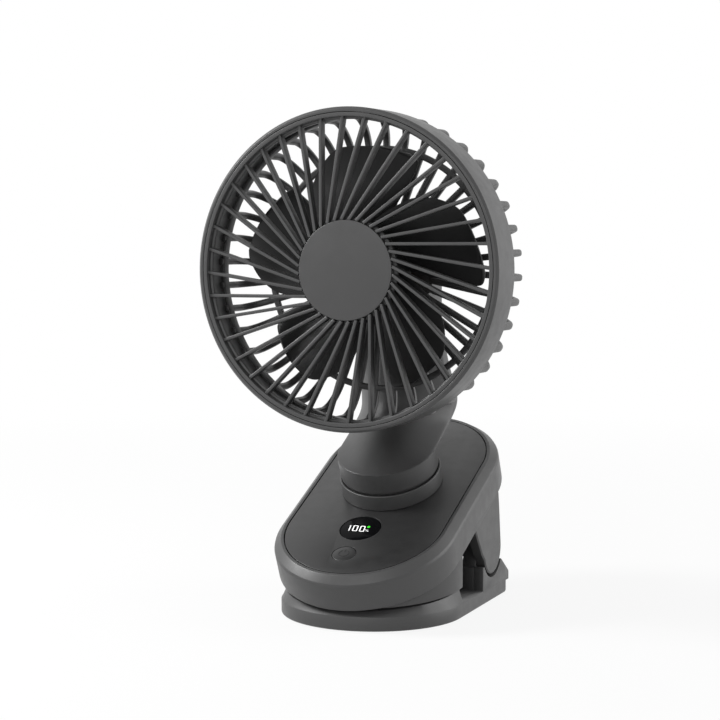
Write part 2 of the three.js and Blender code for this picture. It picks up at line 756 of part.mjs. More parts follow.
const screwSpots = [
  [-1, SLAB_FRONT_CENTRE - COVER_SCREW_SHIFT], [1, SLAB_FRONT_CENTRE - COVER_SCREW_SHIFT],
  [-1, SLAB_REAR_CENTRE + COVER_SCREW_SHIFT], [1, SLAB_REAR_CENTRE + COVER_SCREW_SHIFT],
].map(([side, s]) => [side * (CLIP_HALF_WIDTH - COVER_SCREW_INSET), s]);

// Room in the cover for the roots of the lobes, which are thicker than the wall they grow from.
function lobeNotches() {
  const stations = lobeOutline().map(([s]) => s);
  const [from, to] = [Math.min(...stations) - FIT, Math.max(...stations) + FIT];
  const width = LOBE_THICKNESS + FIT;
  return [-1, 1].map((side) => solid(box(
    width, to - from, 4 * COVER_THICKNESS,
    side * (CLIP_HALF_WIDTH - width / 2), (from + to) / 2, coverBottom,
  )));
}

function bottomCover() {
  const inset = SLAB_WALL + FIT;
  let cover = solid(loft([slabLayer(inset, coverBottom), slabLayer(inset, coverTop)]));
  cover = cover.subtract(joined(lobeNotches()));
  screwSpots.forEach(([x, s]) => {
    const boss = disc(COVER_BOSS_RADIUS, coverTop - 0.4, coverTop + COVER_BOSS_HEIGHT);
    cover = cover.add(solid(moved(boss, x, s, 0)));
  });
  screwSpots.forEach(([x, s]) => {
    cover = cover
      .subtract(slabBore(COVER_SCREW_HEAD_RADIUS + FIT, x, s, coverBottom - 1, coverBottom + 1.9))
      .subtract(slabBore(SCREW_SHANK_RADIUS + FIT, x, s, coverBottom, coverTop + 6));
  });
  return cover;
}

const screwHeadHeight = 0.7 * COVER_SCREW_HEAD_RADIUS;

function coverScrew(x, s) {
  const geometry = screw(COVER_SCREW_HEAD_RADIUS, COVER_SCREW_LENGTH);
  geometry.rotateX(Math.PI);
  geometry.translate(x, s, coverBottom + screwHeadHeight + 0.1);
  return geometry;
}

// The wedge under the slab that closes on the ramp of the lower jaw.
function wedgeBody(inset, lift, endCut) {
  const radius = CLIP_HALF_WIDTH - WEDGE_REVEAL - inset;
  const underside = (y) => (y * Math.sin(SLOPE) + coverBottom - FIT) / Math.cos(SLOPE) + SLAB_RISE;
  const outline = [];
  const front = PLATE_FRONT_CENTRE + WEDGE_SETBACK;
  for (let i = 0; i <= 2 * END_STEPS; i += 1) {
    const angle = Math.PI + (Math.PI * i) / (2 * END_STEPS);
    outline.push([radius * Math.cos(angle), Math.min(front + radius * Math.sin(angle), WEDGE_END - endCut)]);
  }
  outline.push([radius, WEDGE_END - endCut], [-radius, WEDGE_END - endCut]);
  const bottom = outline.map(([x, y]) => new THREE.Vector3(x, y, rampTop(y) + lift));
  const top = outline.map(([x, y]) => new THREE.Vector3(x, y, underside(y)));
  return loft([bottom, top]);
}

const wedgeLift = JAW_PAD_PROUD + FIT;

function toSlabFrame(geometry) {
  const copy = geometry.clone();
  copy.translate(0, 0, -SLAB_RISE);
  copy.rotateX(-SLOPE);
  return copy;
}

function toSlabSolid(geometry) {
  return solid(toSlabFrame(geometry));
}

function jawWedge() {
  const block = toSlabSolid(wedgeBody(0, wedgeLift, 0));
  const padBed = toSlabSolid(loft([
    jawPadOutline(JAW_PAD_INSET - FIT, wedgeLift - 1),
    jawPadOutline(JAW_PAD_INSET - FIT, wedgeLift + JAW_PAD_THICKNESS - JAW_PAD_PROUD),
  ]));
  let wedge = block.subtract(padBed);
  screwSpots.slice(0, 2).forEach(([x, s]) => {
    wedge = wedge.subtract(slabBore(COVER_SCREW_HEAD_RADIUS + 1, x, s, -60, coverBottom + 1));
  });
  return wedge;
}

function upperJawPad() {
  const lift = wedgeLift - JAW_PAD_PROUD + FIT;
  return toSlabFrame(loft([
    jawPadOutline(JAW_PAD_INSET, lift),
    jawPadOutline(JAW_PAD_INSET, wedgeLift + JAW_PAD_THICKNESS - JAW_PAD_PROUD - FIT),
  ]));
}

// A folded steel bracket under the cover that the spring's upper legs press on.
function springBracket() {
  const frontRise = (springSeat + SPRING_BRACKET_FRONT * Math.sin(SLOPE)) / Math.cos(SLOPE);
  const [front] = slabPoint(SPRING_BRACKET_FRONT, SLAB_RISE + frontRise);
  const top = coverBottom - FIT;
  const plate = box(2 * SPRING_BRACKET_HALF_WIDTH, SPRING_BRACKET_LENGTH, SPRING_BRACKET_THICKNESS,
    0, front + SPRING_BRACKET_LENGTH / 2, top - SPRING_BRACKET_THICKNESS / 2);
  const flange = box(2 * SPRING_BRACKET_HALF_WIDTH, SPRING_BRACKET_THICKNESS, SPRING_BRACKET_DEPTH,
    0, front + SPRING_BRACKET_THICKNESS / 2, top - SPRING_BRACKET_DEPTH / 2);
  return solid(plate).add(solid(flange));
}

const boardTop = ledgeBottom - BOARD_DROP;
const boardBottom = boardTop - BOARD_THICKNESS;

function circuitBoard() {
  return box(BOARD_WIDTH, BOARD_LENGTH, BOARD_THICKNESS, 0, BOARD_S, boardBottom + BOARD_THICKNESS / 2);
}

function batteryPack() {
  const top = boardBottom - 0.8;
  const shape = new THREE.Shape();
  const [w, t, r] = [BATTERY_WIDTH / 2, BATTERY_THICKNESS, BATTERY_CORNER_RADIUS];
  shape.moveTo(-w + r, 0);
  shape.lineTo(w - r, 0);
  shape.absarc(w - r, r, r, -Math.PI / 2, 0, false);
  shape.absarc(w - r, t - r, r, 0, Math.PI / 2, false);
  shape.absarc(r - w, t - r, r, Math.PI / 2, Math.PI, false);
  shape.absarc(r - w, r, r, Math.PI, 1.5 * Math.PI, false);
  const geometry = new THREE.ExtrudeGeometry(shape, {
    depth: BATTERY_LENGTH, bevelEnabled: false, curveSegments: 4,
  });
  geometry.rotateX(Math.PI / 2);
  geometry.translate(0, BATTERY_S + BATTERY_LENGTH / 2, top - BATTERY_THICKNESS);
  return facingOut(geometry);
}

const windowTop = panelTop - WINDOW_SINK;
const windowBottom = windowTop - WINDOW_THICKNESS;

function displayWindow() {
  const bezel = WINDOW_RADIUS - 0.25;
  return moved(lathed([
    [0, windowBottom], [WINDOW_RADIUS, windowBottom], [WINDOW_RADIUS, windowTop - 0.2],
    [bezel, windowTop], [0, windowTop],
  ], 32), CONTROL_X, WINDOW_S, 0);
}

function displayModule() {
  const bottom = boardTop + FIT;
  const top = windowBottom - FIT;
  return box(DISPLAY_SIZE, 0.7 * DISPLAY_SIZE, top - bottom, CONTROL_X, WINDOW_S, (top + bottom) / 2);
}

const buttonTop = panelTop + BUTTON_CROWN;
const buttonFloor = panelBottom - FIT - BUTTON_FLANGE;
const switchTop = boardTop + FIT + SWITCH_BODY_HEIGHT;

function powerButton() {
  const lip = BUTTON_RADIUS + 1;
  const stem = Math.max(buttonFloor - switchTop - BUTTON_TRAVEL - FIT, 0);
  return moved(lathed([
    [0, buttonFloor - stem], [1.6, buttonFloor - stem], [1.6, buttonFloor],
    [lip, buttonFloor], [lip, panelBottom - FIT], [BUTTON_RADIUS, panelBottom - FIT],
    [BUTTON_RADIUS, buttonTop - 0.5], [BUTTON_RADIUS - 0.5, buttonTop], [0, buttonTop],
  ], 20), CONTROL_X, BUTTON_S, 0);
}

function pushSwitch() {
  return box(SWITCH_SIZE, SWITCH_SIZE, SWITCH_BODY_HEIGHT, CONTROL_X, BUTTON_S,
    boardTop + FIT + SWITCH_BODY_HEIGHT / 2);
}

const socketMouth = slabRearEnd - 0.6;

function chargeSocket() {
  const middle = socketMouth - SOCKET_LENGTH / 2;
  const outer = box(SOCKET_WIDTH, SOCKET_LENGTH, SOCKET_HEIGHT, 0, middle, SOCKET_H);
  const inner = box(SOCKET_WIDTH - 2 * SOCKET_WALL, SOCKET_LENGTH, SOCKET_HEIGHT - 2 * SOCKET_WALL,
    0, middle + 1, SOCKET_H);
  const tongue = box(SOCKET_WIDTH - 2.6, SOCKET_LENGTH - 1, 0.7, 0, middle - 0.5, SOCKET_H);
  return solid(outer).subtract(solid(inner)).add(solid(tongue));
}

function chargeBoard() {
  const top = SOCKET_H - SOCKET_HEIGHT / 2 - FIT;
  const roundWall = CLIP_HALF_WIDTH - SLAB_WALL - 2 * FIT;
  const rear = SLAB_REAR_CENTRE + Math.sqrt(roundWall ** 2 - (CHARGE_BOARD_WIDTH / 2) ** 2) - FIT;
  return box(CHARGE_BOARD_WIDTH, CHARGE_BOARD_LENGTH, BOARD_THICKNESS, 0,
    rear - CHARGE_BOARD_LENGTH / 2, top - BOARD_THICKNESS / 2);
}

place(slab, "housing_shell", housingShell(), "casing");
place(slab, "top_panel", topPanel(), "panel");
place(slab, "bottom_cover", bottomCover(), "casing");
screwSpots.forEach(([x, s], i) => place(slab, `cover_screw_${i + 1}`, coverScrew(x, s), "steel"));
place(slab, "jaw_wedge", jawWedge(), "casing");
place(slab, "upper_jaw_pad", upperJawPad(), "rubber");
place(slab, "spring_bracket", springBracket(), "steel");
place(slab, "circuit_board", circuitBoard(), "board");
place(slab, "battery_pack", batteryPack(), "cell");
place(slab, "display_window", displayWindow(), "window");
place(slab, "display_module", displayModule(), "panel");
place(slab, "power_button", powerButton(), "panel");
place(slab, "push_switch", pushSwitch(), "steel");
place(slab, "charge_socket", chargeSocket(), "steel");
place(slab, "charge_board", chargeBoard(), "board");

// ---------------------------------------------------------------- swivel, square to the panel

const collarInner = COLLAR_RADIUS - COLLAR_WALL;
const turntableFloor = COLLAR_TOP + RIM_GAP;

function aboutSwivel(profile, steps = SWIVEL_STEPS) {
  return moved(lathed(profile, steps), 0, SWIVEL_S, 0);
}

function collarRing() {
  return aboutSwivel([
    [collarInner, panelTop + FIT], [COLLAR_RADIUS, panelTop + FIT], [COLLAR_RADIUS, COLLAR_TOP - 0.8],
    [COLLAR_RADIUS - 0.6, COLLAR_TOP], [collarInner, COLLAR_TOP],
  ]);
}

function swivelWasher() {
  const top = turntableFloor - FIT;
  return aboutSwivel([
    [SPIGOT_RADIUS + 1, panelTop + FIT], [collarInner - 1, panelTop + FIT],
    [collarInner - 1, top], [SPIGOT_RADIUS + 1, top],
  ], 20);
}

const spigotEnd = ledgeBottom - 0.4;

function swivelRetainer() {
  const top = panelBottom - FIT;
  return aboutSwivel([
    [SPIGOT_RADIUS + FIT, top - RETAINER_THICKNESS], [RETAINER_RADIUS, top - RETAINER_THICKNESS],
    [RETAINER_RADIUS, top], [SPIGOT_RADIUS + FIT, top],
  ], 20);
}

function turntable() {
  return aboutSwivel([
    [SPIGOT_BORE, spigotEnd], [SPIGOT_RADIUS, spigotEnd], [SPIGOT_RADIUS, turntableFloor],
    [TURNTABLE_RADIUS - 0.6, turntableFloor], [TURNTABLE_RADIUS, turntableFloor + 0.8],
    [TURNTABLE_RADIUS, TURNTABLE_TOP + 0.1], [TURNTABLE_RADIUS - NECK_WALL, TURNTABLE_TOP + 0.1],
    [TURNTABLE_RADIUS - NECK_WALL, turntableFloor + NECK_WALL], [SPIGOT_BORE, turntableFloor + NECK_WALL],
  ]);
}

place(slab, "swivel_collar", collarRing(), "casing");
place(slab, "swivel_washer", swivelWasher(), "rubber");
place(slab, "swivel_retainer", swivelRetainer(), "steel");

// ---------------------------------------------------------------- neck

function swivelPoint(h, along = 0) {
  const s = SWIVEL_S + along;
  return [s * Math.cos(SLOPE) - h * Math.sin(SLOPE), SLAB_RISE + s * Math.sin(SLOPE) + h * Math.cos(SLOPE)];
}

// The rings of the neck, seen from the side, from the turntable's rim up to the cheeks.
function neckSections() {
  const [baseY, baseZ] = swivelPoint(TURNTABLE_TOP);
  const square = 4;
  return [
    {
      front: swivelPoint(TURNTABLE_TOP, -TURNTABLE_RADIUS),
      crease: [baseY, baseZ],
      rear: swivelPoint(TURNTABLE_TOP, TURNTABLE_RADIUS),
      half: TURNTABLE_RADIUS,
      flat: 0,
      square: 2,
    },
    ...NECK_STATIONS.map(({ front, crease, rear, wider, ...form }) => {
      const [frontAt, creaseAt, rearAt] = [front, crease, rear].map(([back, up]) => [baseY + back, baseZ + up]);
      return { front: frontAt, crease: creaseAt, rear: rearAt, half: TURNTABLE_RADIUS + wider, ...form };
    }),
    {
      front: [PIVOT_Y - CHEEK_RADIUS + 0.6, PIVOT_Z - 6],
      crease: [PIVOT_Y, PIVOT_Z - 6],
      rear: [PIVOT_Y + CHEEK_RADIUS - 0.6, PIVOT_Z - 6],
      half: CHEEK_OUTER,
      flat: 0.5,
      square,
    },
  ];
}

function neckRing({ front, crease, rear, half, flat, square }) {
  return Array.from({ length: NECK_STEPS }, (_, i) => {
    const angle = (2 * Math.PI * i) / NECK_STEPS;
    const [side, reach] = [Math.cos(angle), Math.abs(Math.sin(angle))];
    const onRear = i < NECK_STEPS / 2;
    const power = onRear ? 2 / square : 1;
    const share = onRear ? reach ** power : (1 - flat) * reach + flat * reach ** 2;
    const end = onRear ? rear : front;
    return new THREE.Vector3(
      half * Math.sign(side) * Math.abs(side) ** power,
      crease[0] + (end[0] - crease[0]) * share,
      crease[1] + (end[1] - crease[1]) * share,
    );
  });
}

function neckHull() {
  return solid(loft(neckSections().map(neckRing)));
}

// A line of [y, z] points moved square to itself, to its right-hand side.
function besideLine(points, distance) {
  return points.map(([y, z], i) => {
    const [before, after] = [points[Math.max(i - 1, 0)], points[Math.min(i + 1, points.length - 1)]];
    const length = Math.hypot(after[0] - before[0], after[1] - before[1]);
    return [
      y + (distance * (after[1] - before[1])) / length,
      z - (distance * (after[0] - before[0])) / length,
    ];
  });
}

function neckCore() {
  const sections = neckSections();
  const fronts = besideLine(sections.map(({ front }) => front), NECK_WALL);
  const rears = besideLine(sections.map(({ rear }) => rear), -NECK_WALL);
  const inner = sections.slice(0, -1).map((section, i) => (
    { ...section, front: fronts[i], rear: rears[i], half: section.half - NECK_WALL }));
  const rim = sections[0];
  const innerRim = {
    ...rim,
    front: swivelPoint(TURNTABLE_TOP, NECK_WALL - TURNTABLE_RADIUS),
    rear: swivelPoint(TURNTABLE_TOP, TURNTABLE_RADIUS - NECK_WALL),
    half: rim.half - NECK_WALL,
  };
  const below = {
    ...innerRim,
    front: swivelPoint(TURNTABLE_TOP - NECK_WALL, NECK_WALL - TURNTABLE_RADIUS),
    crease: swivelPoint(TURNTABLE_TOP - NECK_WALL),
    rear: swivelPoint(TURNTABLE_TOP - NECK_WALL, TURNTABLE_RADIUS - NECK_WALL),
  };
  return solid(loft([below, innerRim, ...inner.slice(1)].map(neckRing)));
}

// Everything in front of the crease, seen from the side, grown by a gap.
function coverZone(gap) {
  const rim = TURNTABLE_TOP + NECK_CREASE;
  const [rimY, rimZ] = swivelPoint(rim, -TURNTABLE_RADIUS);
  const top = PIVOT_Z - NECK_COVER_DROP - gap;
  const creases = neckSections().slice(0, -1).map(({ crease }) => crease);
  const line = [[rimY - 30, rimZ - 30 * Math.tan(SLOPE)], [rimY, rimZ], ...creases, [PIVOT_Y, top - gap]]
    .map(([y, z], i) => [y - gap, z + gap + (i === 2 ? NECK_CREASE : 0)]);
  return solid(sidePrism([...line, [rimY - 30, top]], -2 * HEAD_RADIUS, 2 * HEAD_RADIUS));
}

function cheekOutline() {
  return [
    [PIVOT_Y - CHEEK_RADIUS, PIVOT_Z - 9],
    [PIVOT_Y + CHEEK_RADIUS, PIVOT_Z - 9],
    ...arc(PIVOT_Y, PIVOT_Z, CHEEK_RADIUS, 0, 180, 14),
  ];
}

function tiltBore(radius, halfLength) {
  return solid(alongX(disc(radius, -halfLength, halfLength, 16), 0, PIVOT_Y, PIVOT_Z));
}

function knuckleRoom() {
  const radius = CHEEK_RADIUS + 3;
  return solid(sidePrism([
    [PIVOT_Y - 3 * radius, PIVOT_Z - radius],
    [PIVOT_Y + 3 * radius, PIVOT_Z - radius],
    [PIVOT_Y + 3 * radius, PIVOT_Z + 3 * radius],
    [PIVOT_Y - 3 * radius, PIVOT_Z + 3 * radius],
  ], -CHEEK_INNER, CHEEK_INNER));
}

function inWorldFromSlab(geometry) {
  const copy = geometry.clone();
  copy.rotateX(SLOPE);
  copy.translate(0, 0, SLAB_RISE);
  return copy;
}

const neckWalls = neckHull().subtract(neckCore());

function neckRearShell() {
  const cheeks = [-1, 1].map((side) => {
    const ends = side > 0 ? [CHEEK_INNER, CHEEK_OUTER] : [-CHEEK_OUTER, -CHEEK_INNER];
    return solid(sidePrism(cheekOutline(), ...ends));
  });
  return joined([neckWalls.subtract(coverZone(0)), ...cheeks, solid(inWorldFromSlab(turntable()))])
    .subtract(knuckleRoom())
    .subtract(tiltBore(TILT_PIN_RADIUS + FIT, CHEEK_OUTER - 1.5));
}

function neckFrontCover() {
  return neckWalls.intersect(coverZone(FIT));
}

place(fan, "neck_rear_shell", neckRearShell(), "casing");
place(fan, "neck_front_cover", neckFrontCover(), "casing");
place(fan, "tilt_pin", alongX(disc(TILT_PIN_RADIUS, 1.8 - CHEEK_OUTER, CHEEK_OUTER - 1.8, 16),
  0, PIVOT_Y, PIVOT_Z), "steel");

// ---------------------------------------------------------------- head, in its own frame
// X right, Y up, Z out of the front; Z = 0 is the face of the ring.

const bandInner = HEAD_RADIUS - BAND_WALL;
const ringInner = HEAD_RADIUS - RING_WIDTH;
const rimOuter = bandInner - FIT;
const rimInner = ringInner - RIM_OVERLAP;
const rimTop = -RING_THICKNESS - FIT;
const capBase = CAP_FACE - CAP_THICKNESS;

function polar(radius, angle) {
  return [radius * Math.cos(angle), radius * Math.sin(angle)];
}

function shroudBand() {
  return lathed([
    [bandInner, -BAND_DEPTH], [HEAD_RADIUS, -BAND_DEPTH], [HEAD_RADIUS, -RING_BEVEL],
    [HEAD_RADIUS - RING_BEVEL, 0], [ringInner, 0], [ringInner, -RING_THICKNESS], [bandInner, -RING_THICKNESS],
  ], RING_STEPS);
}

// A straight bar of rectangular section between two points, each given as [x, y, top].
function bar(from, to, width, depth) {
  const along = new THREE.Vector2(to[0] - from[0], to[1] - from[1]).normalize();
  const [sideX, sideY] = [(-along.y * width) / 2, (along.x * width) / 2];
  const ring = ([x, y, top]) => [
    new THREE.Vector3(x + sideX, y + sideY, top - depth),
    new THREE.Vector3(x - sideX, y - sideY, top - depth),
    new THREE.Vector3(x - 0.6 * sideX, y - 0.6 * sideY, top),
    new THREE.Vector3(x + 0.6 * sideX, y + 0.6 * sideY, top),
  ];
  return loft([ring(from), ring(to)]);
}

function frontGrille() {
  const innerEnd = CAP_RADIUS + 0.7;
  const outerEnd = ringInner - FIT;
  const pieces = [
    solid(tube(rimOuter, rimInner, rimTop - RIM_DEPTH, rimTop, RING_STEPS)),
    solid(tube(innerEnd + 1, innerEnd - 4, capBase - CAP_SEAT, capBase - FIT, 40)),
  ];
  for (let i = 0; i < RIB_COUNT; i += 1) {
    const angle = FRONT_RIB_PHASE + (2 * Math.PI * i) / RIB_COUNT;
    const from = [...polar(innerEnd, angle + FRONT_RIB_SWEEP), FRONT_RIB_TOP];
    const to = [...polar(outerEnd, angle), FRONT_RIB_TOP];
    pieces.push(solid(bar(from, to, FRONT_RIB_WIDTH, FRONT_RIB_DEPTH)));
  }
  return joined(pieces);
}

function centreCap() {
  return lathed([
    [0, capBase], [CAP_RADIUS, capBase], [CAP_RADIUS, CAP_FACE - 0.6],
    [CAP_RADIUS - 0.6, CAP_FACE], [0, CAP_FACE],
  ], 40);
}

const motorPlateRear = -REAR_DEPTH;
const motorPlateFront = motorPlateRear + MOTOR_PLATE_THICKNESS;
const rearRimFront = -BAND_DEPTH - FIT;
const rearRimOuter = HEAD_RADIUS - 0.4;

function rearRib(angle) {
  const corner = REAR_STRAIGHT_DEPTH;
  const root = MOTOR_PLATE_RADIUS - 1;
  const outer = [
    [rearRimOuter - 0.1, rearRimFront], [rearRimOuter - 0.1, -corner],
    [rearRimOuter - 2.6, -corner - 6.4], [rearRimOuter - 8, 2.6 - REAR_DEPTH], [root, 0.1 - REAR_DEPTH],
  ];
  const inner = [
    [root, motorPlateFront - 0.1], [rearRimOuter - 9.6, 2.2 - REAR_DEPTH + REAR_RIB_DEPTH],
    [rearRimOuter - 2.4 - REAR_RIB_DEPTH, -corner - 3.6],
    [rearRimOuter - REAR_RIB_DEPTH, -corner + 1], [rearRimOuter - REAR_RIB_DEPTH, rearRimFront],
  ];
  const shape = new THREE.Shape([...outer, ...inner].map(([r, z]) => new THREE.Vector2(r, z)));
  const geometry = new THREE.ExtrudeGeometry(shape, { depth: REAR_RIB_WIDTH, bevelEnabled: false });
  geometry.translate(0, 0, -REAR_RIB_WIDTH / 2);
  geometry.rotateX(Math.PI / 2);
  geometry.rotateZ(angle);
  return facingOut(geometry);
}

function rearGrille() {
  const rimOuterWall = bandInner - FIT;
  const pieces = [
    solid(tube(rimOuterWall, rimOuterWall - REAR_RIM_WALL, REAR_RIM_BOTTOM, REAR_RIM_TOP, RIB_COUNT)),
    solid(tube(REAR_RING_RADIUS + REAR_RING_WIDTH / 2, REAR_RING_RADIUS - REAR_RING_WIDTH / 2,
      0.8 - REAR_DEPTH, 3.2 - REAR_DEPTH, RIB_COUNT)),
    solid(tube(MOTOR_PLATE_RADIUS, POST_BORE, motorPlateRear, motorPlateFront, RIB_COUNT)),
    solid(tube(POST_RADIUS, POST_BORE, motorPlateFront - 0.1, POST_TOP, 20)),
  ];
  for (let i = 0; i < RIB_COUNT; i += 1) {
    pieces.push(solid(rearRib(REAR_RIB_PHASE + (2 * Math.PI * i) / RIB_COUNT)));
  }
  return joined(pieces);
}

// A point of the world's Y-Z plane, in the head's frame.
function headPoint(y, z) {
  const [dy, dz] = [y - HEAD_Y, z - HEAD_Z];
  return [
    dy * Math.sin(HEAD_TILT) + dz * Math.cos(HEAD_TILT),
    dz * Math.sin(HEAD_TILT) - dy * Math.cos(HEAD_TILT),
  ];
}

// The arm from the motor plate back to the tilt pin, with its foot on the plate.
function tiltKnuckle() {
  const [pivotUp, pivotOut] = headPoint(PIVOT_Y, PIVOT_Z);
  const face = motorPlateRear - FIT;
  const outline = [
    [pivotUp - KNUCKLE_RADIUS + 1, face],
    ...arc(pivotUp, pivotOut, KNUCKLE_RADIUS, 180, 360, 12),
    [pivotUp + KNUCKLE_RADIUS + 3, face],
  ];
  const arm = sidePrism(outline, -KNUCKLE_HALF_WIDTH, KNUCKLE_HALF_WIDTH);
  const foot = disc(KNUCKLE_FOOT_RADIUS, face - KNUCKLE_FOOT_THICKNESS, face, 24);
  const bore = alongX(disc(TILT_PIN_RADIUS + FIT, -CHEEK_OUTER, CHEEK_OUTER, 16), 0, pivotUp, pivotOut);
  return solid(arm).add(solid(foot)).subtract(solid(bore));
}

place(head, "shroud_band", shroudBand(), "casing");
place(head, "front_grille", frontGrille(), "casing");
place(head, "centre_cap", centreCap(), "casing");
place(head, "rear_grille", rearGrille(), "casing");
place(head, "tilt_knuckle", tiltKnuckle(), "casing");

// ---------------------------------------------------------------- motor and rotor

const hubInner = HUB_RADIUS - HUB_WALL;
const cupOuter = hubInner - FIT;
const cupInner = cupOuter - CUP_WALL;
const magnetOuter = cupInner - FIT;
const magnetInner = magnetOuter - MAGNET_WALL;
const statorRadius = magnetInner - AIR_GAP;
const cupTop = HUB_FRONT - HUB_WALL - FIT;
const boardFront = motorPlateFront + FIT + MOTOR_BOARD_THICKNESS;
const statorBore = POST_RADIUS + FIT;

// Six winding arms round the post, with wide pole shoes.
function motorStator() {
  const bottom = boardFront + FIT;
  const sleeve = statorBore + STATOR_SLEEVE;
  const [armBottom, armTop] = [bottom + 4, STATOR_FRONT - 4];
  const [armInner, armOuter] = [sleeve - 1, statorRadius - STATOR_SHOE / 2];
  const pieces = [
    solid(tube(sleeve, statorBore, bottom, STATOR_FRONT - 2, 16)),
    solid(tube(statorRadius, statorRadius - STATOR_SHOE, armBottom + 1, armTop - 1, 18)),
  ];
  for (let i = 0; i < STATOR_TEETH; i += 1) {
    const arm = box(armOuter - armInner, STATOR_ARM_WIDTH, armTop - armBottom,
      (armOuter + armInner) / 2, 0, (armTop + armBottom) / 2);
    arm.rotateZ((2 * Math.PI * i) / STATOR_TEETH);
    pieces.push(solid(arm));
  }
  return joined(pieces);
}

function motorBoard() {
  return tube(statorRadius, statorBore, boardFront - MOTOR_BOARD_THICKNESS, boardFront, 24);
}

function bearing(front) {
  return tube(POST_BORE - FIT, SHAFT_RADIUS + RUNNING_FIT, front - BEARING_LENGTH, front, 20);
}

function rotorCup() {
  return lathed([
    [SHAFT_RADIUS + FIT, cupTop - CUP_WALL], [cupInner, cupTop - CUP_WALL], [cupInner, HUB_REAR + 1],
    [cupOuter, HUB_REAR + 1], [cupOuter, cupTop], [SHAFT_RADIUS + FIT, cupTop],
  ], 30);
}

// Angles, in degrees, of a blade's two edges at shares of the tip radius, from root to tip.
const bladeStations = [
  { share: 0.36, rear: 70, front: 143 },
  { share: 0.484, rear: 67.5, front: 136.5 },
  { share: 0.614, rear: 66, front: 129 },
  { share: 0.744, rear: 65, front: 123 },
  { share: 0.865, rear: 64.5, front: 114.5 },
  { share: 0.943, rear: 65, front: 107.5 },
  { share: 1, rear: 70, front: 101 },
];

function blade(turn) {
  const rings = bladeStations.map(({ share, rear, front }, station) => {
    const radius = station === 0 ? HUB_RADIUS - 0.8 : share * BLADE_TIP_RADIUS;
    const outwards = station / (bladeStations.length - 1);
    const depthAt = ([root, tip]) => root + (tip - root) * outwards;
    const [frontDepth, rearDepth] = [depthAt(BLADE_FRONT_DEPTHS), depthAt(BLADE_REAR_DEPTHS)];
    const edge = Array.from({ length: BLADE_CHORD_POINTS }, (_, k) => {
      const along = k / (BLADE_CHORD_POINTS - 1);
      const angle = (rear + (front - rear) * along) * DEGREE + turn;
      const camber = BLADE_CAMBER * Math.sin(Math.PI * along);
      const depth = rearDepth + (frontDepth - rearDepth) * along - camber;
      const half = (BLADE_THICKNESS / 2) * (0.45 + 0.55 * Math.sin(Math.PI * along));
      return { angle, depth, half };
    });
    const row = (side) => edge.map(({ angle, depth, half }) => (
      new THREE.Vector3(...polar(radius, angle), side * half - depth)));
    return [...row(1), ...row(-1).reverse()];
  });
  return loft(rings, false, true);
}

function impeller() {
  const hub = lathed([
    [0, HUB_FRONT - HUB_WALL], [hubInner, HUB_FRONT - HUB_WALL], [hubInner, HUB_REAR],
    [HUB_RADIUS, HUB_REAR], [HUB_RADIUS, HUB_FRONT - 1.5], [HUB_RADIUS - 1.5, HUB_FRONT], [0, HUB_FRONT],
  ], 25);
  const pieces = [solid(hub)];
  for (let i = 0; i < BLADE_COUNT; i += 1) {
    pieces.push(solid(blade((2 * Math.PI * i) / BLADE_COUNT)));
  }
  return joined(pieces);
}

const shaftFront = cupTop;
const shaftRear = motorPlateRear + 1;

place(head, "motor_stator", motorStator(), "copper");
place(head, "motor_board", motorBoard(), "board");
place(head, "front_bearing", bearing(POST_TOP - 0.5), "brass");
place(head, "rear_bearing", bearing(motorPlateFront + BEARING_LENGTH + 1), "brass");
place(head, "impeller", impeller(), "blade");
place(head, "rotor_cup", rotorCup(), "steel");
const magnetTop = cupTop - CUP_WALL - FIT;
place(head, "rotor_magnet", tube(magnetOuter, magnetInner, HUB_REAR + 1, magnetTop, 30), "magnet");
place(head, "motor_shaft", disc(SHAFT_RADIUS, shaftRear, shaftFront, 16), "steel");

export default fan;
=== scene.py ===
import math

import bmesh
import bpy
from mathutils import Matrix, Vector


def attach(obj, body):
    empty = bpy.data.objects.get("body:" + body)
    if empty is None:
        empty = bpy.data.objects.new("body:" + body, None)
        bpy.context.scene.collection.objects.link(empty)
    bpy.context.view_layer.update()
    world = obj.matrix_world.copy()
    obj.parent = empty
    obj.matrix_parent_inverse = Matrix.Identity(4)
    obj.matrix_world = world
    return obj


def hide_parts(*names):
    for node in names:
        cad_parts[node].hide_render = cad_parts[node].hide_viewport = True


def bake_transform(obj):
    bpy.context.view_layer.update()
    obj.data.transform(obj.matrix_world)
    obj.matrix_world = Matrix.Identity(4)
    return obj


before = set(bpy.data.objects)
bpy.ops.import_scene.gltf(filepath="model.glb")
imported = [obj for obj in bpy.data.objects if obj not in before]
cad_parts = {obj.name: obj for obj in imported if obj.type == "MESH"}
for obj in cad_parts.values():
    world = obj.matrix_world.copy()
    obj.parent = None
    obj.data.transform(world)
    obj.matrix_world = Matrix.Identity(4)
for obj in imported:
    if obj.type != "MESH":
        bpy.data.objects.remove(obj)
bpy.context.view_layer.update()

# Looks of the cordless clip fan. Pieces are drawn in millimetres and made in metres. The camera, the lamps,
# the floor and the materials are in metres.

MM = 0.001
PI = math.pi
SLOPE, SLAB_Z = math.radians(23.9), 39.1
HEAD_Y, HEAD_Z, HEAD_TILT = -21.9, 166.9, math.radians(1.8)

# frames: the ground, the sloping housing (x, along the slope, square to the panel) and the head (x, up, out)
GROUND = Matrix.Identity(4)
SLAB = Matrix.Translation((0, 0, SLAB_Z)) @ Matrix.Rotation(SLOPE, 4, "X")
HEAD = Matrix.Translation((0, HEAD_Y, HEAD_Z)) @ Matrix.Rotation(PI / 2 - HEAD_TILT, 4, "X")

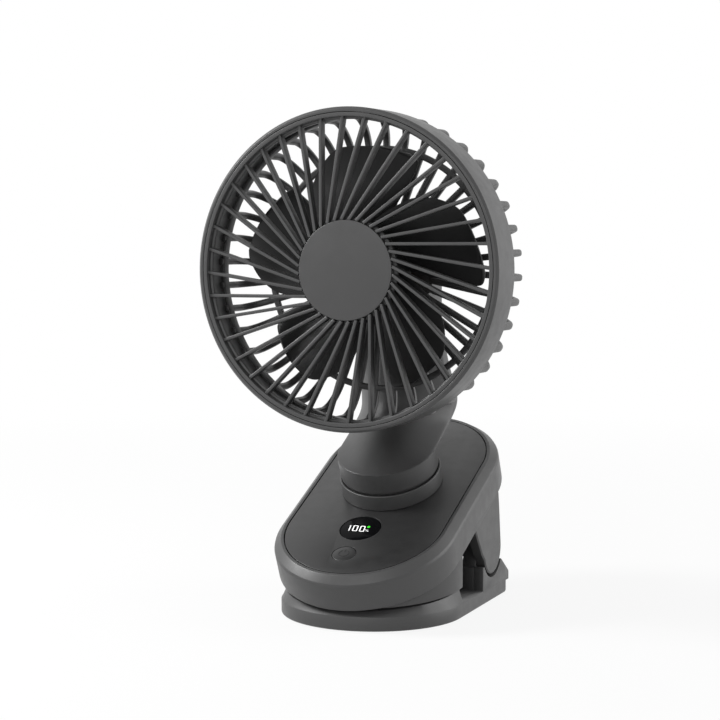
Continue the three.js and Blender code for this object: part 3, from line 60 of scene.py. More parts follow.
# clip
HALF_WIDTH = 44.7
HINGE_Y, HINGE_Z = 60.3, 26.0
PLATE_BOTTOM, PLATE_TOP, PLATE_EDGE = 0.4, 7.4, 1.1
PLATE_CENTRE, PLATE_REAR, PLATE_CORNER = 14.5, 86.0, 7.0
RAMP_WIDTH, RAMP_HEIGHT, RAMP_SLOPE, RAMP_END = 2.8, 1.9, math.radians(5.6), 18.5
LOBE_INNER = 39.9
BRACKET_OUTER, BRACKET_INNER = 39.6, 32.6
WEDGE_REAR = 17.4
SPRING_WIRE, SPRING_COIL = 0.9, 6.6  # radii

# housing
SLAB_FRONT, SLAB_REAR, SLAB_BOTTOM = 5.0, 66.6, -14.5
PANEL_TOP, PANEL_BOTTOM, PANEL_INSET = 2.9, 1.1, 5.8
CONTROL_X, WINDOW_S, BUTTON_S = -1.6, 3.0, -18.6
SWIVEL_S, SOCKET_HEIGHT = 42.9, -6.5
TURNTABLE_RADIUS, TURNTABLE_TOP = 24.3, 22.5

# neck
PIVOT_Y, PIVOT_Z = 43.0, 158.0
CHEEK_RADIUS, CHEEK_INNER, CHEEK_OUTER = 9.5, 11.6, 20.3

# head
HEAD_RADIUS, BAND_DEPTH, RIM_EDGE, CAP_RADIUS = 75.0, 22.7, 72.55, 23.2
RIB_COUNT = 40


# ------------------------------ shapes, as (points, faces) in millimetres

def revolve(profile, steps=96):
    """A closed profile of (radius, height), turned about the third axis."""
    points, rows = [], []
    for radius, height in profile:
        if radius < 1e-6:
            rows.append([len(points)] * steps)
            points.append((0, 0, height))
            continue
        rows.append(list(range(len(points), len(points) + steps)))
        for k in range(steps):
            angle = 2 * PI * k / steps
            points.append((radius * math.cos(angle), radius * math.sin(angle), height))
    faces = []
    for i, row in enumerate(rows):
        after = rows[(i + 1) % len(rows)]
        for k in range(steps):
            j = (k + 1) % steps
            face = list(dict.fromkeys([row[k], row[j], after[j], after[k]]))
            if len(face) > 2:
                faces.append(face)
    return points, faces


def rounded(corners, steps=4):
    """A flat outline whose corners, given as (x, y, radius), are rounded off."""
    outline = []
    count = len(corners)
    for i, corner in enumerate(corners):
        radius = corner[2] if len(corner) > 2 else 0
        if radius == 0:
            outline.append(corner[:2])
            continue
        tip = Vector(corner[:2])
        back = Vector(corners[i - 1][:2]) - tip
        on = Vector(corners[(i + 1) % count][:2]) - tip
        half = back.angle(on) / 2
        cut = min(radius / math.tan(half), 0.49 * back.length, 0.49 * on.length)
        radius = cut * math.tan(half)
        back.normalize()
        on.normalize()
        middle = tip + (back + on).normalized() * (radius / math.sin(half))
        start, end = tip + back * cut - middle, tip + on * cut - middle
        first = math.atan2(start.y, start.x)
        turn = (math.atan2(end.y, end.x) - first + PI) % (2 * PI) - PI
        for k in range(steps + 1):
            angle = first + turn * k / steps
            outline.append((middle.x + radius * math.cos(angle), middle.y + radius * math.sin(angle)))
    return outline


def oblong(left, right, low, high, radius, steps):
    """A rectangle whose corners are rounded off."""
    corners = [(left, low, radius), (right, low, radius), (right, high, radius), (left, high, radius)]
    return rounded(corners, steps)


def loft(rings, closed=False):
    """Rings of equal length joined by walls; an open row of rings gets flat ends."""
    count = len(rings[0])
    points = [point for ring in rings for point in ring]
    faces = []
    spans = len(rings) if closed else len(rings) - 1
    for i in range(spans):
        j = (i + 1) % len(rings)
        for k in range(count):
            n = (k + 1) % count
            faces.append([i * count + k, i * count + n, j * count + n, j * count + k])
    if not closed:
        faces.append(list(range(count))[::-1])
        faces.append(list(range((len(rings) - 1) * count, len(rings) * count)))
    return points, faces


def block(outline, low, high):
    """An outline made solid between two heights."""
    return loft([[(x, y, height) for x, y in outline] for height in (low, high)])


def grown(outline, amount):
    """An outline moved outwards by an amount, for small amounts."""
    area = sum(a[0] * b[1] - b[0] * a[1] for a, b in zip(outline, outline[1:] + outline[:1]))
    side = 1 if area > 0 else -1
    result = []
    for i, (x, y) in enumerate(outline):
        before = Vector(outline[i - 1])
        after = Vector(outline[(i + 1) % len(outline)])
        here = Vector((x, y))
        a = (here - before).normalized() if (here - before).length > 1e-6 else (after - here).normalized()
        b = (after - here).normalized() if (after - here).length > 1e-6 else a
        normal = Vector((a.y + b.y, -a.x - b.x))
        if normal.length > 1e-6:
            normal = normal.normalized() / max(0.4, math.cos(a.angle(b) / 2))
        else:
            normal = Vector((a.y, -a.x))
        result.append((x + side * amount * normal.x, y + side * amount * normal.y))
    return result


def prism(outline, start, end, edge=0.4, steps=3):
    """An outline of (y, z) made solid between two values of x, with its rims rounded."""
    opening, closing = [], []
    for k in range(steps + 1):
        angle = PI / 2 * k / steps
        inset, along = edge * (1 - math.sin(angle)), edge * (1 - math.cos(angle))
        rim = grown(outline, -inset)
        opening.append([(start + along, y, z) for y, z in rim])
        closing.append([(end - along, y, z) for y, z in rim])
    return loft(opening + closing[::-1])


def pair(outline, inner, outer, edge, steps=3):
    """The same prism at the right and at the left."""
    return [prism(outline, a, b, edge, steps) for a, b in ((inner, outer), (-outer, -inner))]


def arc(centre_y, centre_z, radius, start, end, steps):
    """Points on an arc between two angles in degrees."""
    angles = [math.radians(start + (end - start) * k / steps) for k in range(steps + 1)]
    return [(centre_y + radius * math.cos(a), centre_z + radius * math.sin(a)) for a in angles]


def joined(*shapes):
    points, faces = [], []
    for more_points, more_faces in shapes:
        base = len(points)
        points.extend(more_points)
        faces.extend([[base + k for k in face] for face in more_faces])
    return points, faces


def moved(shape, x=0.0, y=0.0, z=0.0):
    return [(px + x, py + y, pz + z) for px, py, pz in shape[0]], shape[1]


def turned(shape, matrix):
    return [tuple(matrix @ Vector(point)) for point in shape[0]], shape[1]


def along_x(shape):
    """A shape made about the third axis, laid along x."""
    return turned(shape, Matrix.Rotation(PI / 2, 4, "Y"))


def swept(path, radius):
    """A round wire along a path, with its ends rounded."""
    sides = 14
    path = [Vector(point) for point in path]
    rings = []
    across = None
    for i, here in enumerate(path):
        tangent = (path[min(i + 1, len(path) - 1)] - path[max(i - 1, 0)]).normalized()
        if across is None:
            across = tangent.cross(Vector((1, 0, 0))).normalized()
        across = (across - tangent * across.dot(tangent)).normalized()
        third = tangent.cross(across)
        stations = [(0.0, radius)]
        if i == 0:
            stations = [(-0.7 * radius, 0.4 * radius), (-0.4 * radius, 0.8 * radius), (0.0, radius)]
        if i == len(path) - 1:
            stations = [(0.0, radius), (0.4 * radius, 0.8 * radius), (0.7 * radius, 0.4 * radius)]
        for shift, size in stations:
            ring = []
            for k in range(sides):
                angle = 2 * PI * k / sides
                offset = across * (size * math.cos(angle)) + third * (size * math.sin(angle))
                ring.append(tuple(here + tangent * shift + offset))
            rings.append(ring)
    return loft(rings)


def half_circle(radius, centre, steps, start=PI):
    """Half a circle about a centre on the second axis, which starts as the front half."""
    angles = [start + PI * k / steps for k in range(steps + 1)]
    return [(radius * math.cos(a), centre + radius * math.sin(a)) for a in angles]


def slab_ring(inset, height):
    """The housing's round-ended outline, drawn in by an inset, at a height."""
    radius = HALF_WIDTH - inset
    outline = half_circle(radius, SLAB_FRONT, 40) + half_circle(radius, SLAB_REAR, 40, start=0)
    return [(x, y, height) for x, y in outline]


def smooth_through(values, place):
    """A value between evenly spaced ones, on a smooth curve through them."""
    last = len(values) - 1
    i = min(int(place), last - 1)
    t = place - i
    a, b = values[i], values[i + 1]
    before = values[i - 1] if i > 0 else 2 * a - b
    after = values[i + 2] if i + 2 <= last else 2 * b - a
    return 0.5 * (2 * a + (b - before) * t + (2 * before - 5 * a + 4 * b - after) * t ** 2
                  + (3 * a - before - 3 * b + after) * t ** 3)


# ------------------------------ objects

def build(name, shape, place=GROUND, crisp=30):
    mesh = bpy.data.meshes.new(name)
    mesh.from_pydata([tuple((place @ Vector(point)) * MM) for point in shape[0]], [], shape[1])
    obj = bpy.data.objects.new(name, mesh)
    bpy.context.scene.collection.objects.link(obj)
    tidy_mesh(obj, crisp)
    return obj


def tidy_mesh(obj, crisp=30):
    """Normals outwards, and shading smooth except across sharp edges."""
    work = bmesh.new()
    work.from_mesh(obj.data)
    bmesh.ops.remove_doubles(work, verts=work.verts, dist=1e-7)
    bmesh.ops.recalc_face_normals(work, faces=work.faces)
    work.to_mesh(obj.data)
    work.free()
    obj.data.polygons.foreach_set("use_smooth", [True] * len(obj.data.polygons))
    obj.data.set_sharp_from_angle(angle=math.radians(crisp))


def settle(obj):
    """The object's modifiers, made part of its mesh."""
    evaluated = obj.evaluated_get(bpy.context.evaluated_depsgraph_get())
    mesh = bpy.data.meshes.new_from_object(evaluated)
    obj.modifiers.clear()
    obj.data = mesh


def carve(obj, shape, place):
    """Takes a shape out of an object."""
    tool = build("tool", shape, place)
    modifier = obj.modifiers.new("carve", "BOOLEAN")
    modifier.operation = "DIFFERENCE"
    modifier.solver = "EXACT"
    modifier.object = tool
    settle(obj)
    bpy.data.objects.remove(tool)
    tidy_mesh(obj)


def dress(obj, body, finish, *nodes):
    """A piece's material, the CAD nodes it stands for and the body it rides on.
    A piece that bends between two bodies rides on none."""
    obj.data.materials.clear()
    obj.data.materials.append(finishes[finish])
    if body:
        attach(obj, body)
    if nodes:
        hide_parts(*nodes)


def piece(node, shape, place, body, finish, crisp=30):
    """A piece that takes the place of one CAD node and is named after it."""
    dress(build(f"{node}_form", shape, place, crisp), body, finish, node)


# ------------------------------ materials

def shader(name):
    material = bpy.data.materials.new(name)
    material.use_nodes = True
    nodes, links = material.node_tree.nodes, material.node_tree.links
    surface = nodes["Principled BSDF"]
    place = nodes.new("ShaderNodeTexCoord").outputs["Object"]
    return material, nodes, links, surface, place


def noise(nodes, links, place, scale, detail=2.0, roughness=0.5):
    texture = nodes.new("ShaderNodeTexNoise")
    texture.inputs["Scale"].default_value = scale
    texture.inputs["Detail"].default_value = detail
    texture.inputs["Roughness"].default_value = roughness
    links.new(place, texture.inputs["Vector"])
    return texture.outputs["Fac"]


def ranged(nodes, links, value, low, high, start=0.3, end=0.7):
    spread = nodes.new("ShaderNodeMapRange")
    spread.inputs["From Min"].default_value = start
    spread.inputs["From Max"].default_value = end
    spread.inputs["To Min"].default_value = low
    spread.inputs["To Max"].default_value = high
    links.new(value, spread.inputs["Value"])
    return spread.outputs["Result"]


def tinted(nodes, links, value, colours):
    """A colour ramp over a value, from (position, colour) pairs."""
    ramp = nodes.new("ShaderNodeValToRGB")
    elements = ramp.color_ramp.elements
    for k, (position, colour) in enumerate(colours):
        element = elements[k] if k < 2 else elements.new(position)
        element.position = position
        element.color = (*colour, 1)
    links.new(value, ramp.inputs["Fac"])
    return ramp.outputs["Color"]


def bumped(nodes, links, height, strength, distance, edge=0.0):
    bump = nodes.new("ShaderNodeBump")
    bump.inputs["Strength"].default_value = strength
    bump.inputs["Distance"].default_value = distance
    links.new(height, bump.inputs["Height"])
    if edge:
        bevel = nodes.new("ShaderNodeBevel")
        bevel.samples = 6
        bevel.inputs["Radius"].default_value = edge
        links.new(bevel.outputs["Normal"], bump.inputs["Normal"])
    return bump.outputs["Normal"]


def scaled(colour, factor):
    return tuple(channel * factor for channel in colour)


def moulded(name, colour, roughness, grain=0.12, level=0.5):
    """Moulded plastic: fine spark-eroded grain, faint flow marks in colour and gloss, and softened edges."""
    soft_edge = 0.00025
    material, nodes, links, surface, place = shader(name)
    flow = noise(nodes, links, place, 26, 4)
    fine = noise(nodes, links, place, 3600, 3, 0.6)
    cloud = noise(nodes, links, place, 210, 3)
    links.new(tinted(nodes, links, flow, [(0.3, scaled(colour, 0.95)), (0.7, scaled(colour, 1.05))]),
              surface.inputs["Base Color"])
    links.new(ranged(nodes, links, cloud, roughness - 0.04, roughness + 0.04), surface.inputs["Roughness"])
    links.new(bumped(nodes, links, fine, grain, 0.00006, soft_edge), surface.inputs["Normal"])
    surface.inputs["Specular IOR Level"].default_value = level
    return material


def rubber(name, colour):
    material, nodes, links, surface, place = shader(name)
    dust = noise(nodes, links, place, 90, 5)
    fine = noise(nodes, links, place, 2400, 4, 0.7)
    links.new(tinted(nodes, links, dust, [(0.3, colour), (0.75, scaled(colour, 1.5))]),
              surface.inputs["Base Color"])
    links.new(ranged(nodes, links, dust, 0.78, 0.92), surface.inputs["Roughness"])
    links.new(bumped(nodes, links, fine, 0.3, 0.0001), surface.inputs["Normal"])
    surface.inputs["Specular IOR Level"].default_value = 0.3
    return material


def metal(name, colour, roughness, stretch=(1, 1, 1), scale=1400):
    """Drawn or turned metal, with fine marks along one way."""
    material, nodes, links, surface, place = shader(name)
    mapping = nodes.new("ShaderNodeMapping")
    mapping.inputs["Scale"].default_value = stretch
    links.new(place, mapping.inputs["Vector"])
    marks = noise(nodes, links, mapping.outputs["Vector"], scale, 3)
    stain = noise(nodes, links, place, 120, 4)
    links.new(tinted(nodes, links, stain, [(0.3, scaled(colour, 0.82)), (0.7, colour)]),
              surface.inputs["Base Color"])
    links.new(ranged(nodes, links, marks, roughness - 0.08, roughness + 0.1), surface.inputs["Roughness"])
    links.new(bumped(nodes, links, marks, 0.15, 0.00004), surface.inputs["Normal"])
    surface.inputs["Metallic"].default_value = 1.0
    return material


def circuit(name):
    """Green solder mask over copper tracks."""
    material, nodes, links, surface, place = shader(name)
    brick = nodes.new("ShaderNodeTexBrick")
    brick.inputs["Scale"].default_value = 190
    brick.inputs["Mortar Size"].default_value = 0.03
    brick.inputs["Color1"].default_value = (0.008, 0.06, 0.025, 1)
    brick.inputs["Color2"].default_value = (0.01, 0.085, 0.035, 1)
    brick.inputs["Mortar"].default_value = (0.02, 0.16, 0.07, 1)
    links.new(place, brick.inputs["Vector"])
    links.new(brick.outputs["Color"], surface.inputs["Base Color"])
    links.new(bumped(nodes, links, brick.outputs["Fac"], 0.4, 0.00005), surface.inputs["Normal"])
    surface.inputs["Roughness"].default_value = 0.38
    return material


def winding(name, colour):
    """Enamelled wire laid side by side."""
    material, nodes, links, surface, place = shader(name)
    wave = nodes.new("ShaderNodeTexWave")
    wave.inputs["Scale"].default_value = 900
    wave.inputs["Distortion"].default_value = 1.5
    links.new(place, wave.inputs["Vector"])
    links.new(tinted(nodes, links, wave.outputs["Fac"], [(0.1, scaled(colour, 0.35)), (0.7, colour)]),
              surface.inputs["Base Color"])
    links.new(bumped(nodes, links, wave.outputs["Fac"], 0.6, 0.0001), surface.inputs["Normal"])
    surface.inputs["Metallic"].default_value = 0.8
    surface.inputs["Roughness"].default_value = 0.4
    return material


def glassy(name, colour):
    """The smoked display window: even, with the faintest haze, and coated against glare."""
    material, nodes, links, surface, place = shader(name)
    haze = noise(nodes, links, place, 160, 3)
    links.new(tinted(nodes, links, haze, [(0.3, colour), (0.7, scaled(colour, 1.3))]),
              surface.inputs["Base Color"])
    links.new(ranged(nodes, links, haze, 0.05, 0.11), surface.inputs["Roughness"])
    surface.inputs["Specular IOR Level"].default_value = 0.04
    return material


def lit(name, colour, strength):
    """A lit segment of the display, a little uneven as a light guide is."""
    material, nodes, links, surface, place = shader(name)
    uneven = noise(nodes, links, place, 700, 2)
    glow = tinted(nodes, links, uneven, [(0.3, scaled(colour, 0.86)), (0.7, colour)])
    links.new(glow, surface.inputs["Emission Color"])
    surface.inputs["Base Color"].default_value = (*scaled(colour, 0.5), 1)
    surface.inputs["Emission Strength"].default_value = strength
    surface.inputs["Roughness"].default_value = 0.4
    return material


finishes = {
    "casing": moulded("casing", (0.044, 0.044, 0.0443), 0.42),
    "panel": moulded("panel", (0.022, 0.022, 0.0222), 0.38, 0.07, level=0.44),
    "icon": moulded("icon", (0.014, 0.014, 0.014), 0.55, 0.05, level=0.3),
    "blade": moulded("blade", (0.014, 0.014, 0.0142), 0.38, 0.05, level=0.3),
    "rubber": rubber("rubber", (0.014, 0.014, 0.0145)),
    "window": glassy("window", (0.0035, 0.0035, 0.004)),
    "digit": lit("digit", (1.0, 1.0, 1.0), 1.0),
    "dot": lit("dot", (0.04, 0.80, 0.02), 0.9),
    "steel": metal("steel", (0.50, 0.51, 0.53), 0.32, (1, 1, 8)),
    "brass": metal("brass", (0.60, 0.42, 0.18), 0.34, (1, 8, 1)),
    "board": circuit("board"),
    "cell": metal("cell", (0.48, 0.50, 0.53), 0.42, (6, 1, 1), 500),
    "copper": winding("copper", (0.56, 0.20, 0.08)),
    "magnet": metal("magnet", (0.08, 0.08, 0.085), 0.5, (1, 1, 1), 2000),
}
slots = {name: name for name in finishes}
slots.update({"icon": "panel", "digit": "window", "dot": "window"})

# ------------------------------ camera, light and ground

CAMERA_PLACE = (0.36635, -0.86335, 0.21575)
AZIMUTH, ELEVATION = math.radians(23.06), math.radians(5.61)
level = math.cos(ELEVATION)
away = Vector((math.sin(AZIMUTH) * level, -math.cos(AZIMUTH) * level, math.sin(ELEVATION)))
right = Vector((math.cos(AZIMUTH), math.sin(AZIMUTH), 0))
up = away.cross(right)
lens = bpy.data.cameras.new("camera")
lens.sensor_width = 36
lens.lens = 100
lens.clip_end = 50
camera = bpy.data.objects.new("camera", lens)
turn = Matrix((right, up, away)).transposed().to_4x4()
camera.matrix_world = Matrix.Translation(CAMERA_PLACE) @ turn
bpy.context.scene.collection.objects.link(camera)
bpy.context.scene.camera = camera
bpy.context.scene.view_settings.view_transform = "Standard"


def lamp(name, place, target, width, height, watts):
    data = bpy.data.lights.new(name, "AREA")
    data.shape = "RECTANGLE"
    data.size, data.size_y = width, height
    data.energy = watts
    obj = bpy.data.objects.new(name, data)
    obj.location = place
    obj.rotation_euler = (Vector(target) - Vector(place)).to_track_quat("-Z", "Y").to_euler()
    bpy.context.scene.collection.objects.link(obj)


def white_to_the_eye(nodes, links):
    """One for rays from the camera, from a mirror or through glass, and nought for the light itself."""
    ray = nodes.new("ShaderNodeLightPath")
    share = ray.outputs["Is Camera Ray"]
    for kind in ("Is Glossy Ray", "Is Transmission Ray"):
        either = nodes.new("ShaderNodeMath")
        either.operation = "MAXIMUM"
        links.new(share, either.inputs[0])
        links.new(ray.outputs[kind], either.inputs[1])
        share = either.outputs[0]
    return share


def mixed(nodes, links, share, unseen, seen, output):
    """Two shaders mixed by a share of the second, as an output's surface."""
    mix = nodes.new("ShaderNodeMixShader")
    for k, source in enumerate((share, unseen, seen)):
        links.new(source, mix.inputs[k])
    links.new(mix.outputs["Shader"], output.inputs["Surface"])


world = bpy.data.worlds.new("world")
bpy.context.scene.world = world
world.use_nodes = True
nodes, links = world.node_tree.nodes, world.node_tree.links
soft = nodes["Background"]
soft.inputs["Color"].default_value = (1, 1, 1, 1)
soft.inputs["Strength"].default_value = 0.32
white = nodes.new("ShaderNodeBackground")
white.inputs["Color"].default_value = (1, 1, 1, 1)
white.inputs["Strength"].default_value = 1.0
mixed(nodes, links, white_to_the_eye(nodes, links), soft.outputs["Background"], white.outputs["Background"],
      nodes["World Output"])

lamp("right", (0.85, 0.45, 0.34), (0, 0, 0.12), 0.8, 0.8, 5.4)
lamp("left", (-0.75, -0.30, 0.60), (0, 0.02, 0.10), 0.3, 0.3, 10.0)
lamp("front", (0.25, -1.3, 0.60), (0, 0, 0.14), 0.8, 0.5, 3.8)

floor = bpy.data.objects.new("floor", bpy.data.meshes.new("floor"))
floor.data.from_pydata([(-6, -6, 0), (6, -6, 0), (6, 6, 0), (-6, 6, 0)], [], [[0, 1, 2, 3]])
bpy.context.scene.collection.objects.link(floor)
material = bpy.data.materials.new("floor")
material.use_nodes = True
nodes, links = material.node_tree.nodes, material.node_tree.links
paper = nodes["Principled BSDF"]
paper.inputs["Base Color"].default_value = (0.82, 0.82, 0.82, 1)
paper.inputs["Roughness"].default_value = 0.9
paper.inputs["Specular IOR Level"].default_value = 0.1
glow = nodes.new("ShaderNodeEmission")
glow.inputs["Strength"].default_value = 1.0
reach = nodes.new("ShaderNodeVectorMath")
reach.operation = "LENGTH"
links.new(nodes.new("ShaderNodeTexCoord").outputs["Object"], reach.inputs[0])
share = nodes.new("ShaderNodeMath")
share.operation = "MULTIPLY"
links.new(white_to_the_eye(nodes, links), share.inputs[0])
links.new(ranged(nodes, links, reach.outputs["Value"], 0.88, 1.0, 0.2, 0.8), share.inputs[1])
mixed(nodes, links, share.outputs[0], paper.outputs["BSDF"], glow.outputs["Emission"],
      nodes["Material Output"])
floor.data.materials.append(material)

# ------------------------------ lower jaw


def plate_ring(inset, height):
    """The lower plate's outline: round at the front, with two rounded corners at the rear."""
    radius, corner = HALF_WIDTH - inset, max(PLATE_CORNER - inset, 0.5)
    outline = half_circle(radius, PLATE_CENTRE, 64)
    for side, start in ((1, 0), (-1, 1)):
        for k in range(13):
            angle = PI / 2 * (start + k / 12)
            outline.append((side * (radius - corner) + corner * math.cos(angle),
                            PLATE_REAR - inset - corner + corner * math.sin(angle)))
    return [(x, y, height) for x, y in outline]


def ramp_top(y):
    return PLATE_TOP + RAMP_HEIGHT + math.tan(RAMP_SLOPE) * (y - PLATE_CENTRE + HALF_WIDTH)


def ramp_ring(inset, height):
    """The front of the plate's outline, cut straight at the ramp's end, at a height given by a rule."""
    radius = HALF_WIDTH - inset
    outline = half_circle(radius, PLATE_CENTRE, 64) + [(radius, RAMP_END), (-radius, RAMP_END)]
    return [(x, y, height(y)) for x, y in outline]


def ear_outline():
    seat, drop = 13.9, HINGE_Z - 19
    reach = math.sqrt(seat * seat - drop * drop)
    dip = math.degrees(math.asin(drop / seat))
    return ([(46, 6.4), (46, 19), (HINGE_Y - reach, 19)]
            + arc(HINGE_Y, HINGE_Z, seat, 180 + dip, 360 - dip, 30)[1:-1]
            + [(HINGE_Y + reach, 19), (HINGE_Y + reach + 0.8, 18.9), (84.0, 11.2), (84.6, 10.3), (84.6, 6.4)])


def bracket_outline():
    return ([(46, 6.4), (46, 18.6), (46.4, 19), (HINGE_Y - 12, 19)] + arc(HINGE_Y, HINGE_Z, 8, 165, 0, 24)
            + [(HINGE_Y + 12, 6.4)])


plate_rings = []
for k in range(6):
    angle = PI / 2 * k / 5
    inset, rise = PLATE_EDGE * (1 - math.sin(angle)), PLATE_EDGE * (1 - math.cos(angle))
    plate_rings.append(plate_ring(inset, PLATE_BOTTOM + rise))
plate_rings += [plate_ring(0, PLATE_TOP - 0.3), plate_ring(0.08, PLATE_TOP - 0.1), plate_ring(0.3, PLATE_TOP)]
ramp_rings = [
    ramp_ring(0.3, lambda y: PLATE_TOP - 0.6), ramp_ring(0.3, lambda y: PLATE_TOP),
    ramp_ring(RAMP_WIDTH - 0.3, lambda y: ramp_top(y) - 0.15), ramp_ring(RAMP_WIDTH, ramp_top),
]
ears = pair(ear_outline(), BRACKET_OUTER, HALF_WIDTH - 0.02, 0.3)
brackets = pair(bracket_outline(), BRACKET_INNER, BRACKET_OUTER + 0.2, 0.4)
lower_plate = joined(loft(plate_rings), loft(ramp_rings), *ears, *brackets)
piece("lower_jaw_plate", lower_plate, GROUND, "lower_jaw", "casing")


def pad_width(inset, y):
    """Half the width of a jaw pad at a place along it."""
    radius = HALF_WIDTH - inset
    ahead = max(PLATE_CENTRE - y, 0)
    return math.sqrt(max(radius * radius - ahead * ahead, 0.01))


def ribbed_pad(inset, level, thickness, groove, side):
    """A rubber pad that follows the ramp, with ribs across it on the side that grips."""
    start, end = PLATE_CENTRE - HALF_WIDTH + inset + 0.6, RAMP_END - 4.9
    rings = []
    steps = 130
    for k in range(steps + 1):
        y = start + (end - start) * k / steps
        rib = groove if (y / 2.6) % 1 < 0.34 else 0.0
        near = ramp_top(y) + level - side * rib
        far = ramp_top(y) + level - side * thickness
        half = pad_width(inset, y) - (0.3 if k in (0, steps) else 0.0)
        low, high = min(near, far), max(near, far)
        rings.append([(-half, y, low), (half, y, low), (half, y, high - 0.15), (half - 0.3, y, high),
                      (0.3 - half, y, high), (-half, y, high - 0.15)])
    return loft(rings)


piece("lower_jaw_pad", ribbed_pad(9, 0.5, 1.6, 0.45, 1), GROUND, "lower_jaw", "rubber")
piece("upper_jaw_pad", ribbed_pad(9, 0.6, 1.5, 0.45, -1), GROUND, "housing", "rubber")

foot_rings = [plate_ring(7.4, 0.0), plate_ring(7.1, 0.12), plate_ring(7.0, 0.4), plate_ring(7.0, 1.4)]
piece("foot_pad", loft(foot_rings), GROUND, "lower_jaw", "rubber")

sleeve = revolve(rounded([(2.3, -32.3), (4.9, -32.3, 0.4), (4.9, 32.3, 0.4), (2.3, 32.3)]), 48)
piece("hinge_sleeve", moved(along_x(sleeve), 0, HINGE_Y, HINGE_Z), GROUND, "lower_jaw", "casing")
pin = revolve(rounded([(0, -42.2), (2, -42.2, 0.3), (2, 42.2, 0.3), (0, 42.2)]), 40)
piece("hinge_pin", moved(along_x(pin), 0, HINGE_Y, HINGE_Z), GROUND, "lower_jaw", "steel")


def spring_path(middle):
    """The middle of a torsion spring's wire: a leg to the plate, the coil and a leg to the bracket."""
    wire, coil, pitch, turns, leg, fit = SPRING_WIRE, SPRING_COIL, 2.6, 5, 20, 0.3
    span = math.hypot(coil, leg)

    def leg_angle(distance):
        return math.asin(min(distance / span, 1)) - math.atan2(coil, leg)

    lower_reach = HINGE_Z - PLATE_TOP - wire - fit
    depth = (HINGE_Z - SLAB_Z) * math.cos(SLOPE) - HINGE_Y * math.sin(SLOPE)
    upper_reach = SLAB_BOTTOM - fit - 1.4 - depth - wire - fit
    first = leg_angle(lower_reach) - PI / 2
    last = PI / 2 - leg_angle(upper_reach) - SLOPE + 2 * PI * turns
    count = (last - first) / (2 * PI)
    steps = int(26 * count)
    coil_points = []
    for k in range(steps + 1):
        angle = first + (last - first) * k / steps
        coil_points.append((middle + pitch * count * (k / steps - 0.5),
                            HINGE_Y - coil * math.cos(angle), HINGE_Z + coil * math.sin(angle)))

    def along(angle, reach):
        return Vector((0, math.sin(angle), math.cos(angle))) * reach

    reaches = (0.15 * leg, 0.4 * leg, 0.75 * leg, leg)
    start = [tuple(Vector(coil_points[0]) - along(first, reach)) for reach in reversed(reaches)]
    end = [tuple(Vector(coil_points[-1]) + along(last, reach)) for reach in reaches]
    return start + coil_points + end


for side, middle in (("right", 15), ("left", -15)):
    spring = build(f"clip_spring_{side}_form", swept(spring_path(middle), SPRING_WIRE), crisp=60)
    dress(spring, None, "steel", f"clip_spring_{side}")
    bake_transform(spring)

# ------------------------------ housing


def slab_point(y, z):
    """A point of the ground's frame, given in the housing's."""
    rise = z - SLAB_Z
    return (y * math.cos(SLOPE) + rise * math.sin(SLOPE), rise * math.cos(SLOPE) - y * math.sin(SLOPE))


def socket_ring(outline, s):
    """A ring about the charging socket's middle, at a place along the housing."""
    return [(x, s, z + SOCKET_HEIGHT) for x, z in outline]


shell_profile = rounded([
    (0, SLAB_BOTTOM, 0.3), (0, -1.5, 0.4), (0.52, -0.25, 0.6), (3.75, 2.8, 0.5), (4.0, PANEL_TOP, 0.12),
    (5.3, PANEL_TOP, 0.15), (5.3, 0.8), (7.5, 0.8), (7.5, -1.0), (2.4, -3.9), (2.4, SLAB_BOTTOM),
], 4)
shell_rings = [slab_ring(inset, height) for inset, height in shell_profile]
shell = build("housing_shell_form", loft(shell_rings, closed=True), SLAB)
socket_hole = oblong(-4.8, 4.8, -1.95, 1.95, 1.9, 8)
carve(shell, loft([socket_ring(socket_hole, s) for s in (100, 118)]), SLAB)

lobe_world = ([(29.5, 40.2), (35.5, 38.2), (36.9, 36.1), (39.0, 33.2), (41.3, 30.4), (44.8, 25.6)]
              + arc(HINGE_Y, HINGE_Z, 12.3, 199, 366, 48)
              + [(HINGE_Y + 9.7, HINGE_Z + 20), (HINGE_Y + 8.3, HINGE_Z + 28)])
lobe = [slab_point(y, z) for y, z in lobe_world]


def lobe_form(side):
    """The tongue at the housing's side that carries the hinge, with a fine chamfer round its rim."""
    layers = [(LOBE_INNER, 0), (LOBE_INNER + 0.2, 0), (HALF_WIDTH - 0.55, 0), (HALF_WIDTH - 0.02, -0.75)]
    return loft([[(side * x, y, z) for y, z in grown(lobe, amount)] for x, amount in layers])


shell_lobes = build("lobes", joined(lobe_form(1), lobe_form(-1)), SLAB)
work = bmesh.new()
work.from_mesh(shell.data)
work.from_mesh(shell_lobes.data)
work.to_mesh(shell.data)
work.free()
bpy.data.objects.remove(shell_lobes)
tidy_mesh(shell)
dress(shell, "housing", "casing", "housing_shell")

panel = build("top_panel_form", loft([
    slab_ring(PANEL_INSET, PANEL_BOTTOM), slab_ring(PANEL_INSET, PANEL_TOP - 0.3),
    slab_ring(PANEL_INSET + 0.09, PANEL_TOP - 0.09), slab_ring(PANEL_INSET + 0.3, PANEL_TOP),
]), SLAB)
for radius, x, s in ((10.15, CONTROL_X, WINDOW_S), (5.95, CONTROL_X, BUTTON_S), (12.35, 0, SWIVEL_S)):
    carve(panel, moved(revolve([(0, -2), (radius, -2), (radius, 6), (0, 6)], 80), x, s), SLAB)
dress(panel, "housing", "panel", "top_panel")

window = revolve(rounded([(0, 1.45), (9.9, 1.45), (9.9, 2.65, 0.25), (0, 2.66)]), 96)
piece("display_window", moved(window, CONTROL_X, WINDOW_S), SLAB, "housing", "window")

